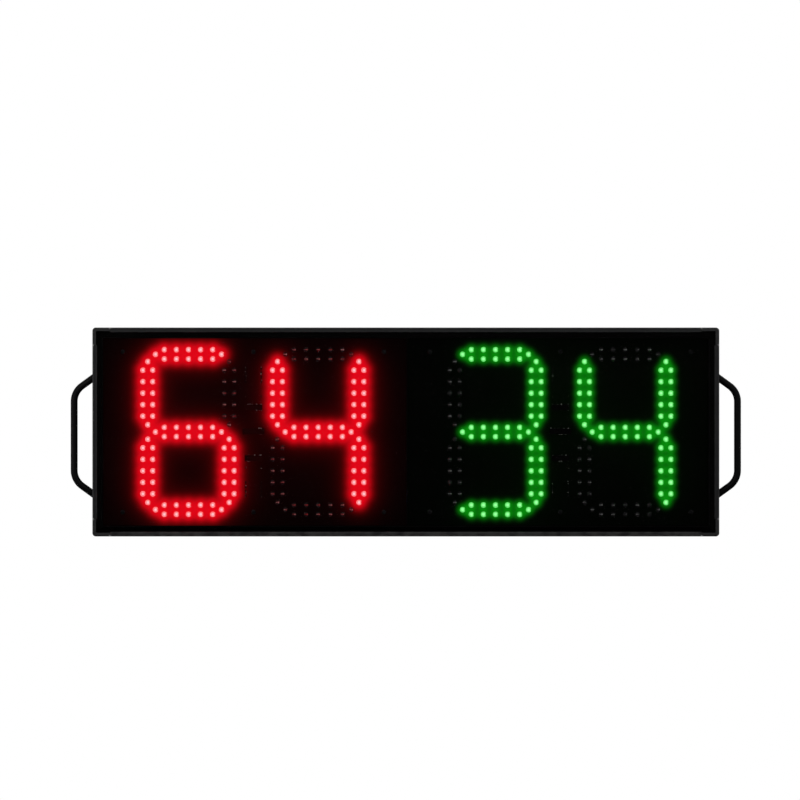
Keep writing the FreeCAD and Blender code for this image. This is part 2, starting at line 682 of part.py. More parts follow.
def socket(x, y, height):
    """A ribbon socket on a board's back face."""
    xs, zs = (x - SOCKET_HALF_X, x + SOCKET_HALF_X), (RIBBON_Z - SOCKET_HALF_Z, RIBBON_Z + SOCKET_HALF_Z)
    block = box(*xs, y, y + height, *zs)
    return block.makeChamfer(0.6, [e for e in block.Edges if e.CenterOfMass.y > y + height - 0.01])


# ---- Controls --------------------------------------------------------------------------------
def key(x, z):
    """A round key cap with a dished top, a retaining flange and a stem into its switch."""
    top = OVERLAY_FACE + KEY_PROUD
    flange_back, flange_front = COVER_SEAT - 0.4, COVER_SEAT - 1.8
    stem_end = CONTROL_FACE + SWITCH_H - STEM_IN
    profile = [
        (0, top - KEY_DISH),
        (KEY_R - 1.6, top - 0.35, 2.0),
        (KEY_R - 1.0, top, 0.5),
        (KEY_R, top, 0.6),
        (KEY_R, flange_back),
        (KEY_FLANGE_R, flange_back),
        (KEY_FLANGE_R, flange_front),
        (KEY_STEM_R, flange_front, 0.5),
        (KEY_STEM_R, stem_end),
        (0, stem_end),
    ]
    return turned(profile, x, z)


def key_switch(x, z):
    half = SWITCH_SIDE / 2
    body = box(x - half, x + half, CONTROL_FACE, CONTROL_FACE + SWITCH_H, z - half, z + half)
    well_floor = CONTROL_FACE + SWITCH_H - STEM_IN - KEY_TRAVEL - STEM_CLEAR
    body = body.makeFillet(0.5, [e for e in body.Edges if abs(e.tangentAt(e.FirstParameter).y) > 0.9])
    return body.cut(rod(SWITCH_WELL_R, V(x, well_floor, z), V(x, CONTROL_FACE + SWITCH_H + 1, z)))


def build_controls():
    holes = [(x, PANEL_Z + z, KEY_HOLE_R + 0.15) for x, z in KEY_PLACES.values()]
    holes.append((LAMP_PLACE[0], PANEL_Z + LAMP_PLACE[1], LAMP_R + 0.15))
    outline = rectangle(OVERLAY_W / 2, OVERLAY_H / 2, OVERLAY_ROUND, 0, PANEL_Z)
    save("control_overlay", plate(outline, COVER_FACE, OVERLAY_FACE, holes))
    for name, (x, z) in KEY_PLACES.items():
        save(name, key(x, PANEL_Z + z))
    save("key_switches", *[key_switch(x, PANEL_Z + z) for x, z in KEY_PLACES.values()])

    back = CONTROL_FACE - CONTROL_T
    board_holes = [(x, PANEL_Z + z, M3_CLEAR) for x, z in CONTROL_FIXINGS]
    outline = rectangle(CONTROL_W / 2, CONTROL_H / 2, 2.0, 0, PANEL_Z)
    save("controller_board", plate(outline, back, CONTROL_FACE, board_holes))
    standoffs, screws = [], []
    for x, z in CONTROL_FIXINGS:
        seat, foot = V(x, CONTROL_FACE, PANEL_Z + z), V(x, COVER_SEAT, PANEL_Z + z)
        standoffs.append(hexagon(STANDOFF_AF, seat, foot).cut(rod(M3_HOLE, seat, foot)))
        screws.append(pan_screw(x, PANEL_Z + z, back, 6.0))

    processor = small_outline_chip(5.0, 5.0, 1.6, 7, CONTROL_FACE)
    regulator = small_outline_chip(2.0, 2.5, 1.6, 4, CONTROL_FACE)
    save(
        "controller_chips",
        placed(processor, 0, PANEL_Z - 6),
        placed(regulator, -88, PANEL_Z - 8),
        placed(regulator, 86, PANEL_Z - 8),
    )
    power = []
    for x, z in ((-72, -18), (-62, -18), (62, -18)):
        foot, top = V(x, CONTROL_FACE, PANEL_Z + z), V(x, CONTROL_FACE + 7.0, PANEL_Z + z)
        can = rod(3.15, foot, top)
        power.append(can.makeFillet(0.4, [e for e in can.Edges if e.CenterOfMass.y > top.y - 0.01]))
    coil = plate(rectangle(5, 5, 1.5, 76, PANEL_Z - 20), CONTROL_FACE, CONTROL_FACE + 4.5)
    crystal = plate(rectangle(5.5, 2.2, 2.1, 0, PANEL_Z - 18), CONTROL_FACE, CONTROL_FACE + 3.5)
    save("controller_power_parts", *power, coil, crystal)
    save("charge_lamp", charge_lamp())
    return standoffs, screws


def charge_lamp():
    """A 3 mm indicator LED behind the cover, its dome just proud of the overlay."""
    x, z = LAMP_PLACE[0], PANEL_Z + LAMP_PLACE[1]
    tip = OVERLAY_FACE + LAMP_PROUD
    shoulder = tip - LAMP_DOME_H
    base = shoulder - LAMP_FLANGE
    profile = [
        (0, tip),
        (LAMP_R, tip, LAMP_R - 0.01),
        (LAMP_R, shoulder),
        (LAMP_R + 0.4, shoulder),
        (LAMP_R + 0.4, base),
        (0, base),
    ]
    body = turned(profile, x, z)
    half = LEAD_SIDE / 2
    for side in (-1, 1):
        lead_x = x + side * LEAD_PITCH / 2
        body = body.fuse(box(lead_x - half, lead_x + half, CONTROL_FACE, base + 0.3, z - half, z + half))
    return body.removeSplitter()


# ---- Rocker switch ---------------------------------------------------------------------------
def rocker_housing():
    x, z = ROCKER_X, PANEL_Z
    width, length = ROCKER_BODY
    bezel_w, bezel_l, bezel_t = ROCKER_BEZEL
    bottom = COVER_FACE - ROCKER_DEPTH
    body = plate(rectangle(width / 2, length / 2, 0.6, x, z), bottom, COVER_FACE)
    bezel = plate(rectangle(bezel_w / 2, bezel_l / 2, 1.2, x, z), COVER_FACE, COVER_FACE + bezel_t)
    top_edges = [e for e in bezel.Edges if e.CenterOfMass.y > COVER_FACE + bezel_t - 0.01]
    body = body.fuse(bezel.makeFillet(0.7, top_edges)).removeSplitter()
    well_w, well_l = ROCKER_WELL
    body = body.cut(
        box(x - well_w / 2, x + well_w / 2, ROCKER_PIVOT_Y - 5.5, BACK + 5, z - well_l / 2, z + well_l / 2)
    )
    half = ROCKER_KEY_W / 2 + 0.6
    body = body.cut(rod(TRUNNION_R + 0.06, V(x - half, ROCKER_PIVOT_Y, z), V(x + half, ROCKER_PIVOT_Y, z)))
    for side in (-1, 1):
        blade_z = z + side * ROCKER_BLADE_Z
        blade_end = bottom - ROCKER_BLADE
        xs = x - ROCKER_BLADE_W / 2, x + ROCKER_BLADE_W / 2
        zs = blade_z - ROCKER_BLADE_T / 2, blade_z + ROCKER_BLADE_T / 2
        body = body.fuse(box(*xs, blade_end, bottom + 0.5, *zs))
    return body.removeSplitter()


def rocker_key():
    """The key at rest in its ON position, tipped about its trunnions."""
    x, z = ROCKER_X, PANEL_Z
    half = ROCKER_KEY_W / 2
    slope = math.tan(math.radians(ROCKER_TILT))
    drum = rod(ROCKER_KEY_R, V(x - half, ROCKER_PIVOT_Y, z), V(x + half, ROCKER_PIVOT_Y, z))

    def place(rise, along):
        return V(x - half, ROCKER_PIVOT_Y + rise, z + along)

    reach = ROCKER_KEY_R + 3
    brow = ROCKER_VALLEY + reach * slope
    keep = [
        (ROCKER_VALLEY, 0),
        (brow, reach),
        (-ROCKER_UNDER, reach),
        (-ROCKER_UNDER, -reach),
        (brow, -reach),
    ]
    wedge = Part.Face(rounded_wire(keep, place)).extrude(V(2 * half, 0, 0))
    body = drum.common(wedge)
    trunnion = half + 0.45
    body = body.fuse(rod(TRUNNION_R, V(x - trunnion, ROCKER_PIVOT_Y, z), V(x + trunnion, ROCKER_PIVOT_Y, z)))
    body = body.removeSplitter()
    body.rotate(V(x, ROCKER_PIVOT_Y, z), X_AXIS, ROCKER_TILT)
    return body


# ---- Charging jack and its rubber cap --------------------------------------------------------
def charge_jack():
    x, z = JACK_X, PANEL_Z
    top = COVER_FACE + JACK_FLANGE_T
    profile = [
        (0, JACK_BACK),
        (JACK_BARREL_R, JACK_BACK),
        (JACK_BARREL_R, COVER_FACE),
        (JACK_FLANGE_R, COVER_FACE),
        (JACK_FLANGE_R, top, 0.6),
        (JACK_BORE_R, top, 0.3),
        (JACK_BORE_R, top - JACK_BORE_DEPTH),
        (JACK_PIN_R, top - JACK_BORE_DEPTH),
        (JACK_PIN_R, top - JACK_PIN_SUNK, 0.5),
        (0, top - JACK_PIN_SUNK),
    ]
    body = turned(profile, x, z)
    for tab_z in (z - 2.0, z + 2.0):
        ys = JACK_BACK - JACK_TAB_L, JACK_BACK + 0.5
        body = body.fuse(box(x - 1.2, x + 1.2, *ys, tab_z - 0.3, tab_z + 0.3))
    return body.removeSplitter()


def jack_cap():
    """The rubber cap: a disc with a stub in the jack, and a strap up to its hinge."""
    x, z = JACK_X, PANEL_Z
    under = COVER_FACE + JACK_FLANGE_T + CAP_SEAT_GAP
    hinge_z = z + CAP_HINGE_RISE
    profile = [
        (0, under + CAP_T),
        (CAP_R, under + CAP_T, 0.5),
        (CAP_R, under, 0.3),
        (CAP_STUB_R, under),
        (CAP_STUB_R, under - CAP_STUB_L, 0.5),
        (0, under - CAP_STUB_L),
    ]
    body = turned(profile, x, z)
    left, right = x - CAP_STRAP_W / 2, x + CAP_STRAP_W / 2
    strap = box(left, right, under, CAP_HINGE_Y + CAP_KNUCKLE_R, z + CAP_R - 1.5, hinge_z)
    knuckle = rod(CAP_KNUCKLE_R, V(left, CAP_HINGE_Y, hinge_z), V(right, CAP_HINGE_Y, hinge_z))
    tab = box(x - 2, x + 2, under + 0.3, under + CAP_T - 0.3, z - CAP_R - 2.2, z - CAP_R + 0.8)
    tab = tab.makeFillet(0.4, tab.Edges)
    return body.fuse(strap).fuse(knuckle).fuse(tab).removeSplitter()


def jack_cap_anchor():
    """The strap's fixed end: a pad on the cover with a push-in stud through it."""
    x, hinge_z = JACK_X, PANEL_Z + CAP_HINGE_RISE
    stud_z = hinge_z + ANCHOR_STUD_RISE
    pad = plate(rectangle(3.6, 4.6, 1.5, x, hinge_z + 4.6), COVER_FACE, ANCHOR_FACE)
    groove = rod(CAP_KNUCKLE_R + 0.15, V(x - 5, CAP_HINGE_Y, hinge_z), V(x + 5, CAP_HINGE_Y, hinge_z))
    pad = pad.cut(groove)
    stud_tip, cone_h = V(x, COVER_SEAT - 2.2, stud_z), 1.2
    stud = rod(ANCHOR_STUD_R, stud_tip, V(x, COVER_FACE + 0.5, stud_z))
    barb = Part.makeCone(ANCHOR_STUD_R + 0.05, ANCHOR_BARB_R, cone_h, stud_tip, Y_AXIS)
    barb_top = rod(ANCHOR_BARB_R, stud_tip + Y_AXIS * cone_h, V(x, COVER_SEAT - 0.1, stud_z))
    return pad.fuse(stud).fuse(barb).fuse(barb_top).removeSplitter()


def build_power_inputs():
    save("rocker_housing", rocker_housing())
    save("rocker_key", rocker_key())
    save("charge_jack", charge_jack())
    seat, nut_end = V(JACK_X, COVER_SEAT, PANEL_Z), V(JACK_X, COVER_SEAT - JACK_NUT_H, PANEL_Z)
    nut = hexagon(JACK_NUT_AF, seat, nut_end)
    save("jack_nut", nut.cut(rod(JACK_BARREL_R + 0.05, seat, nut_end)))
    save("jack_cap", jack_cap())
    save("jack_cap_anchor", jack_cap_anchor())


# ---- Battery ---------------------------------------------------------------------------------
def build_battery():
    pitch = CELL_L + CELL_BUTTON_H + 2 * STRIP_T
    start = -CELL_COUNT * pitch / 2
    axis = V(0, CELL_Y, CELL_Z)
    cells, strips = [], []
    for k in range(CELL_COUNT):
        left = start + k * pitch + STRIP_T
        can = rod(CELL_R, axis + X_AXIS * left, axis + X_AXIS * (left + CELL_L))
        can = can.makeFillet(0.7, [e for e in can.Edges if len(e.Vertexes) == 1 and e.Closed])
        button_end = left + CELL_L + CELL_BUTTON_H
        button = rod(CELL_BUTTON_R, axis + X_AXIS * (left + CELL_L - 0.5), axis + X_AXIS * button_end)
        cells.append(can.fuse(button).removeSplitter())
        strips.append(box(button_end, button_end + STRIP_T, CELL_Y - 3, CELL_Y + 3, CELL_Z - 6, CELL_Z + 6))
    strips.append(box(start, start + STRIP_T, CELL_Y - 3, CELL_Y + 3, CELL_Z - 6, CELL_Z + 6))
    board_left, board_back = -start + 1.5, CELL_Y + 0.6
    for side in (-1, 1):
        zs = sorted((CELL_Z + side * 2.0, CELL_Z + side * 5.0))
        strips.append(box(-start + STRIP_T, board_left + 4, board_back, board_back + STRIP_T, *zs))
    save("battery_cells", *cells)
    save("battery_strips", *strips)

    sleeve_left, sleeve_right = axis + X_AXIS * (start - 2), axis + X_AXIS * (board_left + 48)
    sleeve = rod(SLEEVE_R, sleeve_left, sleeve_right)
    save("battery_sleeve", sleeve.cut(rod(SLEEVE_R - SLEEVE_T, sleeve_left, sleeve_right)))

    saddles, screws = [], []
    bore, ring = SLEEVE_R + 0.1, SLEEVE_R + 0.1 + SADDLE_WALL
    foot_seat = COVER_SEAT - SADDLE_FOOT_T
    for x in SADDLE_XS:
        left, right = x - SADDLE_HALF_W, x + SADDLE_HALF_W
        near, far = V(left, CELL_Y, CELL_Z), V(right, CELL_Y, CELL_Z)
        foot = box(left, right, foot_seat, COVER_SEAT, CELL_Z - SADDLE_FOOT, CELL_Z + SADDLE_FOOT)
        body = rod(ring, near, far).fuse(foot).cut(rod(bore, near, far))
        body = body.cut(box(left - 1, right + 1, CELL_Y - 12, CELL_Y - 3, CELL_Z - 12, CELL_Z + 12))
        body = body.common(box(left - 1, right + 1, -5, COVER_SEAT, CELL_Z - 21, CELL_Z + 21))
        for side in (-1, 1):
            z = CELL_Z + side * SADDLE_SCREW
            body = body.cut(rod(M3_CLEAR, V(x, foot_seat - 1, z), V(x, COVER_SEAT, z)))
            screws.append(pan_screw(x, z, foot_seat, SADDLE_FOOT_T))
        saddles.append(body.removeSplitter())
    save("battery_saddles", *saddles)

    board_right = board_left + PROTECTION_L
    board = box(board_left, board_right, board_back - 1.2, board_back, CELL_Z - 7, CELL_Z + 7)
    chip = small_outline_chip(2.0, 2.5, 1.5, 4, board_back)
    chips = [placed(chip, board_left + x, CELL_Z) for x in (14, 30)]
    save("battery_protection_board", board, *chips)
    return screws, board_right


# ---- Wiring ----------------------------------------------------------------------------------
def ribbon(mid_x):
    """A flat ten-way ribbon from a display board's socket to the controller board's."""
    side = math.copysign(1, mid_x)
    y_low, y_high = BOARD_BACK + 4.0, CONTROL_FACE + 3.0
    start, end = mid_x - side * 3.3, side * (CONTROL_SOCKET_X + 3.3)
    points = [
        V(start, y_low, RIBBON_Z),
        V(start - side * 18, y_low, RIBBON_Z),
        V(start - side * 42, y_high, RIBBON_Z),
        V(end, y_high, RIBBON_Z),
    ]
    outline = rectangle(0.45, 6.35, 0, y_low, RIBBON_Z)
    ends = rounded_wire(outline, lambda y, z: V(start, y, z))
    return tube_path(points).makePipeShell([ends], True, False)


def build_wiring(sockets, battery_end):
    save("ribbon_left", ribbon(RED_MID))
    save("ribbon_right", ribbon(GREEN_MID))
    for side in (-1, 1):
        sockets.append(socket(side * CONTROL_SOCKET_X, CONTROL_FACE, 6.0))
    save("ribbon_sockets", *sockets)
    plug_y = CONTROL_FACE + 2.5
    save(
        "lead_sockets",
        *[
            box(x - 4, x + 4, CONTROL_FACE, CONTROL_FACE + 5, PANEL_Z + z - 2.5, PANEL_Z + z + 2.5)
            for x, z in ((84.0, -33.0), (96.0, 14.0), (-96.0, 14.0))
        ],
    )
    blade_end = COVER_FACE - ROCKER_DEPTH - ROCKER_BLADE
    for k, name in ((-1, "supply_leads_red"), (1, "supply_leads_black")):
        plug_z = PANEL_Z + 14 + 1.2 * k
        jack = [
            V(JACK_X, JACK_BACK - JACK_TAB_L - 0.05, PANEL_Z + 2.0 * k),
            V(JACK_X, JACK_BACK - 9.0, PANEL_Z + 2.0 * k),
            V(-118, JACK_BACK - 7.0, PANEL_Z + 12 + 2 * k),
            V(-111, plug_y, plug_z),
            V(-100.1, plug_y, plug_z),
        ]
        blade_z = PANEL_Z + ROCKER_BLADE_Z * k
        rocker = [
            V(ROCKER_X, blade_end - 0.05, blade_z),
            V(ROCKER_X, blade_end - 3.6, blade_z),
            V(118, blade_end - 1.0, PANEL_Z + 12 + 4 * k),
            V(111, plug_y, plug_z),
            V(100.1, plug_y, plug_z),
        ]
        battery = [
            V(battery_end + 0.05, CELL_Y, CELL_Z + 3 * k),
            V(battery_end + 12 - 2 * k, CELL_Y, CELL_Z + 3 * k),
            V(battery_end + 12 - 2 * k, plug_y, PANEL_Z - 44 - 3 * k),
            V(84 - 1.2 * k, plug_y, PANEL_Z - 44 - 3 * k),
            V(84 - 1.2 * k, plug_y, PANEL_Z - 35.6),
        ]
        save(name, *[wire_lead(points, LEAD_R) for points in (jack, rocker, battery)])


def main():
    os.makedirs("parts", exist_ok=True)
    build_case()
    build_handles()
    display_standoffs, display_screws, sockets = build_display()
    control_standoffs, control_screws = build_controls()
    build_power_inputs()
    saddle_screws, battery_end = build_battery()
    save("board_standoffs", *display_standoffs, *control_standoffs)
    save("inner_screws", *display_screws, *control_screws, *saddle_screws)
    build_wiring(sockets, battery_end)


main()
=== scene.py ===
"""Looks of the hand-held LED board: materials, glow, printed marks, studio and camera.

Metres, in the CAD's frame: the window faces -Y and the controls are on the +Y side.
"""

import bpy
import bmesh
import math
import numpy as np
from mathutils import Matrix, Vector


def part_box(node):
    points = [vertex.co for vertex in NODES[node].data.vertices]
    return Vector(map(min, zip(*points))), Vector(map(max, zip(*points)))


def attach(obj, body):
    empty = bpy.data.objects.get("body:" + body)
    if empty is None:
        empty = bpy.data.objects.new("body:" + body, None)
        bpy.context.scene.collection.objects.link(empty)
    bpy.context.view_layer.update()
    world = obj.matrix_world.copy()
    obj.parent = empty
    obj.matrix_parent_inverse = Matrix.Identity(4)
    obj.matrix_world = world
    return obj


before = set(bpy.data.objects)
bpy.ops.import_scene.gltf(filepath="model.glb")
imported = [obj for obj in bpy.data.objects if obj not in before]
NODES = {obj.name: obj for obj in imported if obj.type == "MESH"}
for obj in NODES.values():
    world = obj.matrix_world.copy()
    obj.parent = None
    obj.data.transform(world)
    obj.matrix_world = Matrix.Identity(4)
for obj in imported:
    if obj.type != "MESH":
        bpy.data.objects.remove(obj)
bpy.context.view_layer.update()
CASE = "case"
DIGITS = ("red_tens", "red_units", "green_tens", "green_units")

BOARD_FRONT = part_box("display_board_red")[0].y
MIDDLE = (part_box("front_window")[0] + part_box("front_window")[1]) / 2

# Light that passes each face of the window, and both of them.
WINDOW_SMOKE = 0.25
THROUGH_FACE = (1 - WINDOW_SMOKE) * 0.97
THROUGH_WINDOW = THROUGH_FACE**2

RED_GLOW, GREEN_GLOW = (1.0, 0.0025, 0.0115), (0.011, 1.0, 0.018)


# ---- Shader graphs ---------------------------------------------------------------------------
class Graph:
    """A material or a world, and short ways to wire its nodes."""

    def __init__(self, name, kind="Material"):
        library = bpy.data.worlds if kind == "World" else bpy.data.materials
        self.owner = library.new(name)
        self.owner.use_nodes = True
        self.tree = self.owner.node_tree
        self.tree.nodes.clear()
        self.out = self.add("Output" + kind)
        self.coordinates = self.add("TexCoord").outputs
        self.place = self.coordinates["Object"]

    def add(self, kind, sockets=None, **settings):
        node = self.tree.nodes.new("ShaderNode" + kind)
        for key, value in settings.items():
            setattr(node, key, value)
        for key, value in (sockets or {}).items():
            self.put(node.inputs[key], value)
        return node

    def put(self, socket, value):
        if isinstance(value, bpy.types.NodeSocket):
            self.tree.links.new(value, socket)
        elif isinstance(value, (tuple, list)) and len(value) == 3 and socket.type == "RGBA":
            socket.default_value = (*value, 1)
        else:
            socket.default_value = value

    def math(self, operation, a, b=0.0, c=0.0):
        return self.add("Math", {0: a, 1: b, 2: c}, operation=operation).outputs[0]

    def split(self, vector=None):
        return self.add("SeparateXYZ", {0: vector or self.place}).outputs

    def stretched(self, x=1.0, y=1.0, z=1.0):
        """The object's coordinates scaled along each axis."""
        return self.add("Mapping", {"Vector": self.place, "Scale": (x, y, z)}).outputs[0]

    def noise(self, scale, vector=None, detail=3.0, roughness=0.55):
        sockets = {"Vector": vector or self.place, "Scale": scale, "Detail": detail, "Roughness": roughness}
        return self.add("TexNoise", sockets).outputs["Fac"]

    def fade(self, value, low, high, to_low=0.0, to_high=1.0):
        """A smooth step as value goes from low to high."""
        sockets = {"Value": value, "From Min": low, "From Max": high, "To Min": to_low, "To Max": to_high}
        return self.add("MapRange", sockets, interpolation_type="SMOOTHSTEP").outputs["Result"]

    def mix(self, factor, a, b):
        node = self.add("Mix", data_type="RGBA")
        for socket, value in ((node.inputs[0], factor), (node.inputs[6], a), (node.inputs[7], b)):
            self.put(socket, value)
        return node.outputs[2]

    def bump(self, height, distance, strength=1.0, under=None):
        node = self.add("Bump", {"Height": height, "Distance": distance, "Strength": strength})
        if under:
            self.put(node.inputs["Normal"], under)
        return node.outputs[0]

    def shader(self, **sockets):
        """A Principled shader. Underscores in the names stand for spaces."""
        return self.add("BsdfPrincipled", {key.replace("_", " "): value for key, value in sockets.items()})

    def glow(self, shader, colour, strength):
        """Light of the surface's own, which the renderer doesn't seek out as it does a lamp's."""
        self.put(shader.inputs["Emission Color"], colour)
        self.put(shader.inputs["Emission Strength"], strength)
        self.owner.cycles.emission_sampling = "NONE"

    def blend(self, share, first, second):
        """A mix of two shaders, by the second one's share."""
        both = self.add("MixShader", {0: share})
        self.put(both.inputs[1], first.outputs[0])
        self.put(both.inputs[2], second.outputs[0])
        return both

    def see_through(self, body, share, clear):
        """A mix of a shader, by its share, with clear material of the given tint."""
        return self.blend(share, self.add("BsdfTransparent", {"Color": clear}), body)

    def finish(self, shader):
        self.put(self.out.inputs["Surface"], shader.outputs[0])
        return self.owner


# ---- Materials of the case -------------------------------------------------------------------
def rail_metal(node):
    """Black anodised extrusion: die lines, bare metal on its rubbed corners, and painted light from below in
    patches near the ground.
    """
    g = Graph(node + "_anodised")
    x, y, z = g.split()
    low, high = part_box(node)
    along_x = high.x - low.x > high.z - low.z
    across = z if along_x else x
    outer = (low.z if low.z < MIDDLE.z / 2 else high.z) if along_x else (low.x if low.x < 0 else high.x)
    depth = g.math("ABSOLUTE", g.math("SUBTRACT", across, outer))
    front = g.math("SUBTRACT", y, low.y)
    back = g.math("SUBTRACT", high.y, y)
    face = g.math("MINIMUM", front, back)
    outer_corner = g.fade(g.math("ADD", depth, face), 0.0014, 0.0005)
    lip_height = 0.0053
    lip_corner = g.math("ADD", g.math("ABSOLUTE", g.math("SUBTRACT", depth, lip_height)), front)
    rubbed = g.math("MAXIMUM", outer_corner, g.fade(lip_corner, 0.0006, 0.0001))
    worn = g.math("MULTIPLY", rubbed, g.fade(g.noise(170, detail=6), 0.45, 0.75))
    lines = g.noise(1.0, g.stretched(3, 900, 900) if along_x else g.stretched(900, 900, 3), 2)
    blotch = g.noise(45, detail=4)
    black = g.mix(blotch, (0.006, 0.006, 0.0065), (0.012, 0.012, 0.0125))
    black = g.mix(g.math("MULTIPLY", lines, 0.3), black, (0.018, 0.018, 0.02))
    colour = g.mix(g.math("MULTIPLY", worn, 0.45), black, (0.09, 0.09, 0.095))
    # Lighter towards the ground, in patches: painted light from below on the bottom of the rails.
    dust_and_painted_light = g.math("MULTIPLY", g.fade(z, 0.011, 0.004), g.fade(g.noise(90, detail=6), 0.3, 0.65))
    colour = g.mix(g.math("MULTIPLY", dust_and_painted_light, 0.6), colour, (0.05, 0.049, 0.047))
    roughness = g.math("ADD", g.math("MULTIPLY", blotch, 0.16), 0.32)
    normal = g.bump(lines, 0.00005, 0.5)
    normal = g.bump(g.noise(2600, detail=2), 0.00002, 0.5, normal)
    return g.finish(g.shader(Base_Color=colour, Roughness=roughness, Normal=normal, Specular_IOR_Level=0.3))


def smoked_window():
    """Smoked acrylic: wipe marks and hairline scratches dull its gloss a little."""
    g = Graph("smoked_acrylic")
    wipe = g.fade(g.noise(6, g.stretched(0.5, 1, 2.2), 6), 0.45, 0.75)
    hair = g.fade(g.noise(900, g.stretched(0.04, 1, 1.3), 2), 0.66, 0.74)
    dull = g.math("ADD", g.math("MULTIPLY", wipe, 0.04), g.math("MULTIPLY", hair, 0.1))
    tint = g.mix(wipe, (0.0008, 0.0006, 0.0007), (0.0022, 0.0016, 0.0018))
    body = g.shader(Base_Color=tint, Roughness=g.math("ADD", dull, 0.025), IOR=1.8)
    return g.finish(g.see_through(body, WINDOW_SMOKE, (0.97, 0.97, 0.97)))


def moulded(name, dark, light, grain=1500.0, depth=0.00004, rough=0.5, dust_and_painted_light=0.0, gloss=0.5):
    """Spark-eroded moulding grain, uneven colour, and dust in its hollows."""
    g = Graph(name)
    patch = g.noise(60, detail=4)
    settled = g.math("MULTIPLY", g.fade(g.noise(240, detail=6), 0.5, 0.8), dust_and_painted_light)
    colour = g.mix(settled, g.mix(patch, dark, light), (0.2, 0.19, 0.18))
    roughness = g.math("ADD", g.math("MULTIPLY", patch, 0.2), rough - 0.1)
    normal = g.bump(g.noise(grain, detail=2), depth, 0.6)
    return g.finish(g.shader(Base_Color=colour, Roughness=roughness, Normal=normal, Specular_IOR_Level=gloss))


def powder_coat(name, dark, light, rough, gloss):
    """The fine orange peel of a powder coating, smoother where hands have rubbed it."""
    g = Graph(name)
    rub = g.fade(g.noise(14, detail=8), 0.45, 0.8)
    roughness = g.math("SUBTRACT", rough + 0.04, g.math("MULTIPLY", rub, 0.08))
    normal = g.bump(g.noise(900, detail=2), 0.00006, 0.45)
    normal = g.bump(g.noise(5200, detail=2), 0.00001, 0.4, normal)
    colour = g.mix(rub, dark, light)
    return g.finish(g.shader(Base_Color=colour, Roughness=roughness, Normal=normal, Specular_IOR_Level=gloss))


def metal(name, dark, light, rough=0.3):
    """Plated metal with fine tool marks."""
    g = Graph(name)
    marks = g.noise(1400, g.stretched(1, 0.12, 1), 3)
    colour = g.mix(g.noise(180, detail=4), dark, light)
    roughness = g.math("ADD", g.math("MULTIPLY", marks, 0.22), rough - 0.08)
    normal = g.bump(marks, 0.00002, 0.4)
    return g.finish(g.shader(Base_Color=colour, Metallic=1.0, Roughness=roughness, Normal=normal))


def gloss(name, dark, light, rough=0.2, coat=0.4):
    """Smooth moulded or sleeved plastic, with fingerprints in its gloss."""
    g = Graph(name)
    flow = g.noise(70, detail=3)
    prints = g.noise(420, detail=5)
    colour = g.mix(flow, dark, light)
    roughness = g.math("ADD", g.math("MULTIPLY", prints, 0.2), rough - 0.08)
    normal = g.bump(flow, 0.0001, 0.1)
    shader = g.shader(Base_Color=colour, Roughness=roughness, Normal=normal, Coat_Weight=coat)
    g.put(shader.inputs["Coat Roughness"], 0.08)
    return g.finish(shader)


# ---- Materials of the display ----------------------------------------------------------------
def solder_mask(g):
    """Matt black solder mask over a woven board and its faint copper tracks."""
    x, y, z = g.split()
    flat = g.add("CombineXYZ", {0: x, 1: z}).outputs[0]
    tracks = g.add("TexBrick", {"Vector": flat, "Scale": 90.0, "Mortar Size": 0.03}).outputs["Fac"]
    weave = g.noise(1.0, g.stretched(700, 1, 700), 2)
    colour = g.mix(g.math("MULTIPLY", tracks, 0.6), (0.0003, 0.0003, 0.00035), (0.0008, 0.0008, 0.0009))
    normal = g.bump(weave, 0.00001, 0.2, g.bump(tracks, 0.00003, 0.3))
    roughness = g.math("ADD", g.math("MULTIPLY", weave, 0.15), 0.55)
    return g.shader(Base_Color=colour, Roughness=roughness, Normal=normal, Specular_IOR_Level=0.03)


def plain_mask(name):
    g = Graph(name)
    return g.finish(solder_mask(g))


def glowing_mask(name, colour):
    """The solder mask where the lit LEDs spill light on it, as strong as its spill attribute says."""
    g = Graph(name)
    shader = solder_mask(g)
    spill = g.add("Attribute", attribute_name="spill").outputs["Fac"]
    uneven = g.math("ADD", g.math("MULTIPLY", g.noise(240, detail=3), 0.12), 0.94)
    g.glow(shader, colour, g.math("MULTIPLY", spill, uneven))
    return g.finish(shader)


def lit_lens(name, core, skirt, strength):
    """A lit LED: pale where the die shines out of its dome, and saturated round its side."""
    g = Graph(name)
    normal = g.add("NewGeometry").outputs["Normal"]
    dome = g.fade(g.math("MULTIPLY", g.split(normal)[1], -1.0), 0.4, 0.95)
    power = g.math("MULTIPLY", g.math("ADD", g.math("MULTIPLY", dome, 0.5), 0.5), strength / THROUGH_WINDOW)
    roughness = g.math("MULTIPLY", g.noise(700, detail=2), 0.2)
    shader = g.shader(Base_Color=skirt, Roughness=roughness, Coat_Weight=0.4)
    g.glow(shader, g.mix(dome, skirt, core), power)
    return g.finish(shader)


def clear_epoxy(name, dark, light):
    """A water-clear epoxy lens, faintly cloudy, see-through to the lead frame inside it."""
    g = Graph(name)
    cloud = g.noise(800, detail=3)
    roughness = g.math("ADD", g.math("MULTIPLY", cloud, 0.1), 0.05)
    body = g.shader(Base_Color=g.mix(cloud, dark, light), Roughness=roughness, IOR=1.6)
    return g.finish(g.see_through(body, 0.4, (0.96, 0.96, 0.97)))


def lead_metal():
    """Silvered leads, brighter in some LEDs than in others, with a painted red glow that is stronger where
    the red LEDs spill.
    """
    g = Graph("silvered_lead")
    each = g.fade(g.noise(70, detail=1), 0.38, 0.62)
    colour = g.mix(each, (0.03, 0.03, 0.03), (0.95, 0.94, 0.92))
    roughness = g.math("ADD", g.math("MULTIPLY", g.noise(1400, detail=3), 0.2), 0.35)
    shader = g.shader(Base_Color=colour, Metallic=0.7, Roughness=roughness)
    spill = g.add("Attribute", attribute_name="spill").outputs["Fac"]
    g.glow(shader, RED_GLOW, spill)
    return g.finish(shader)


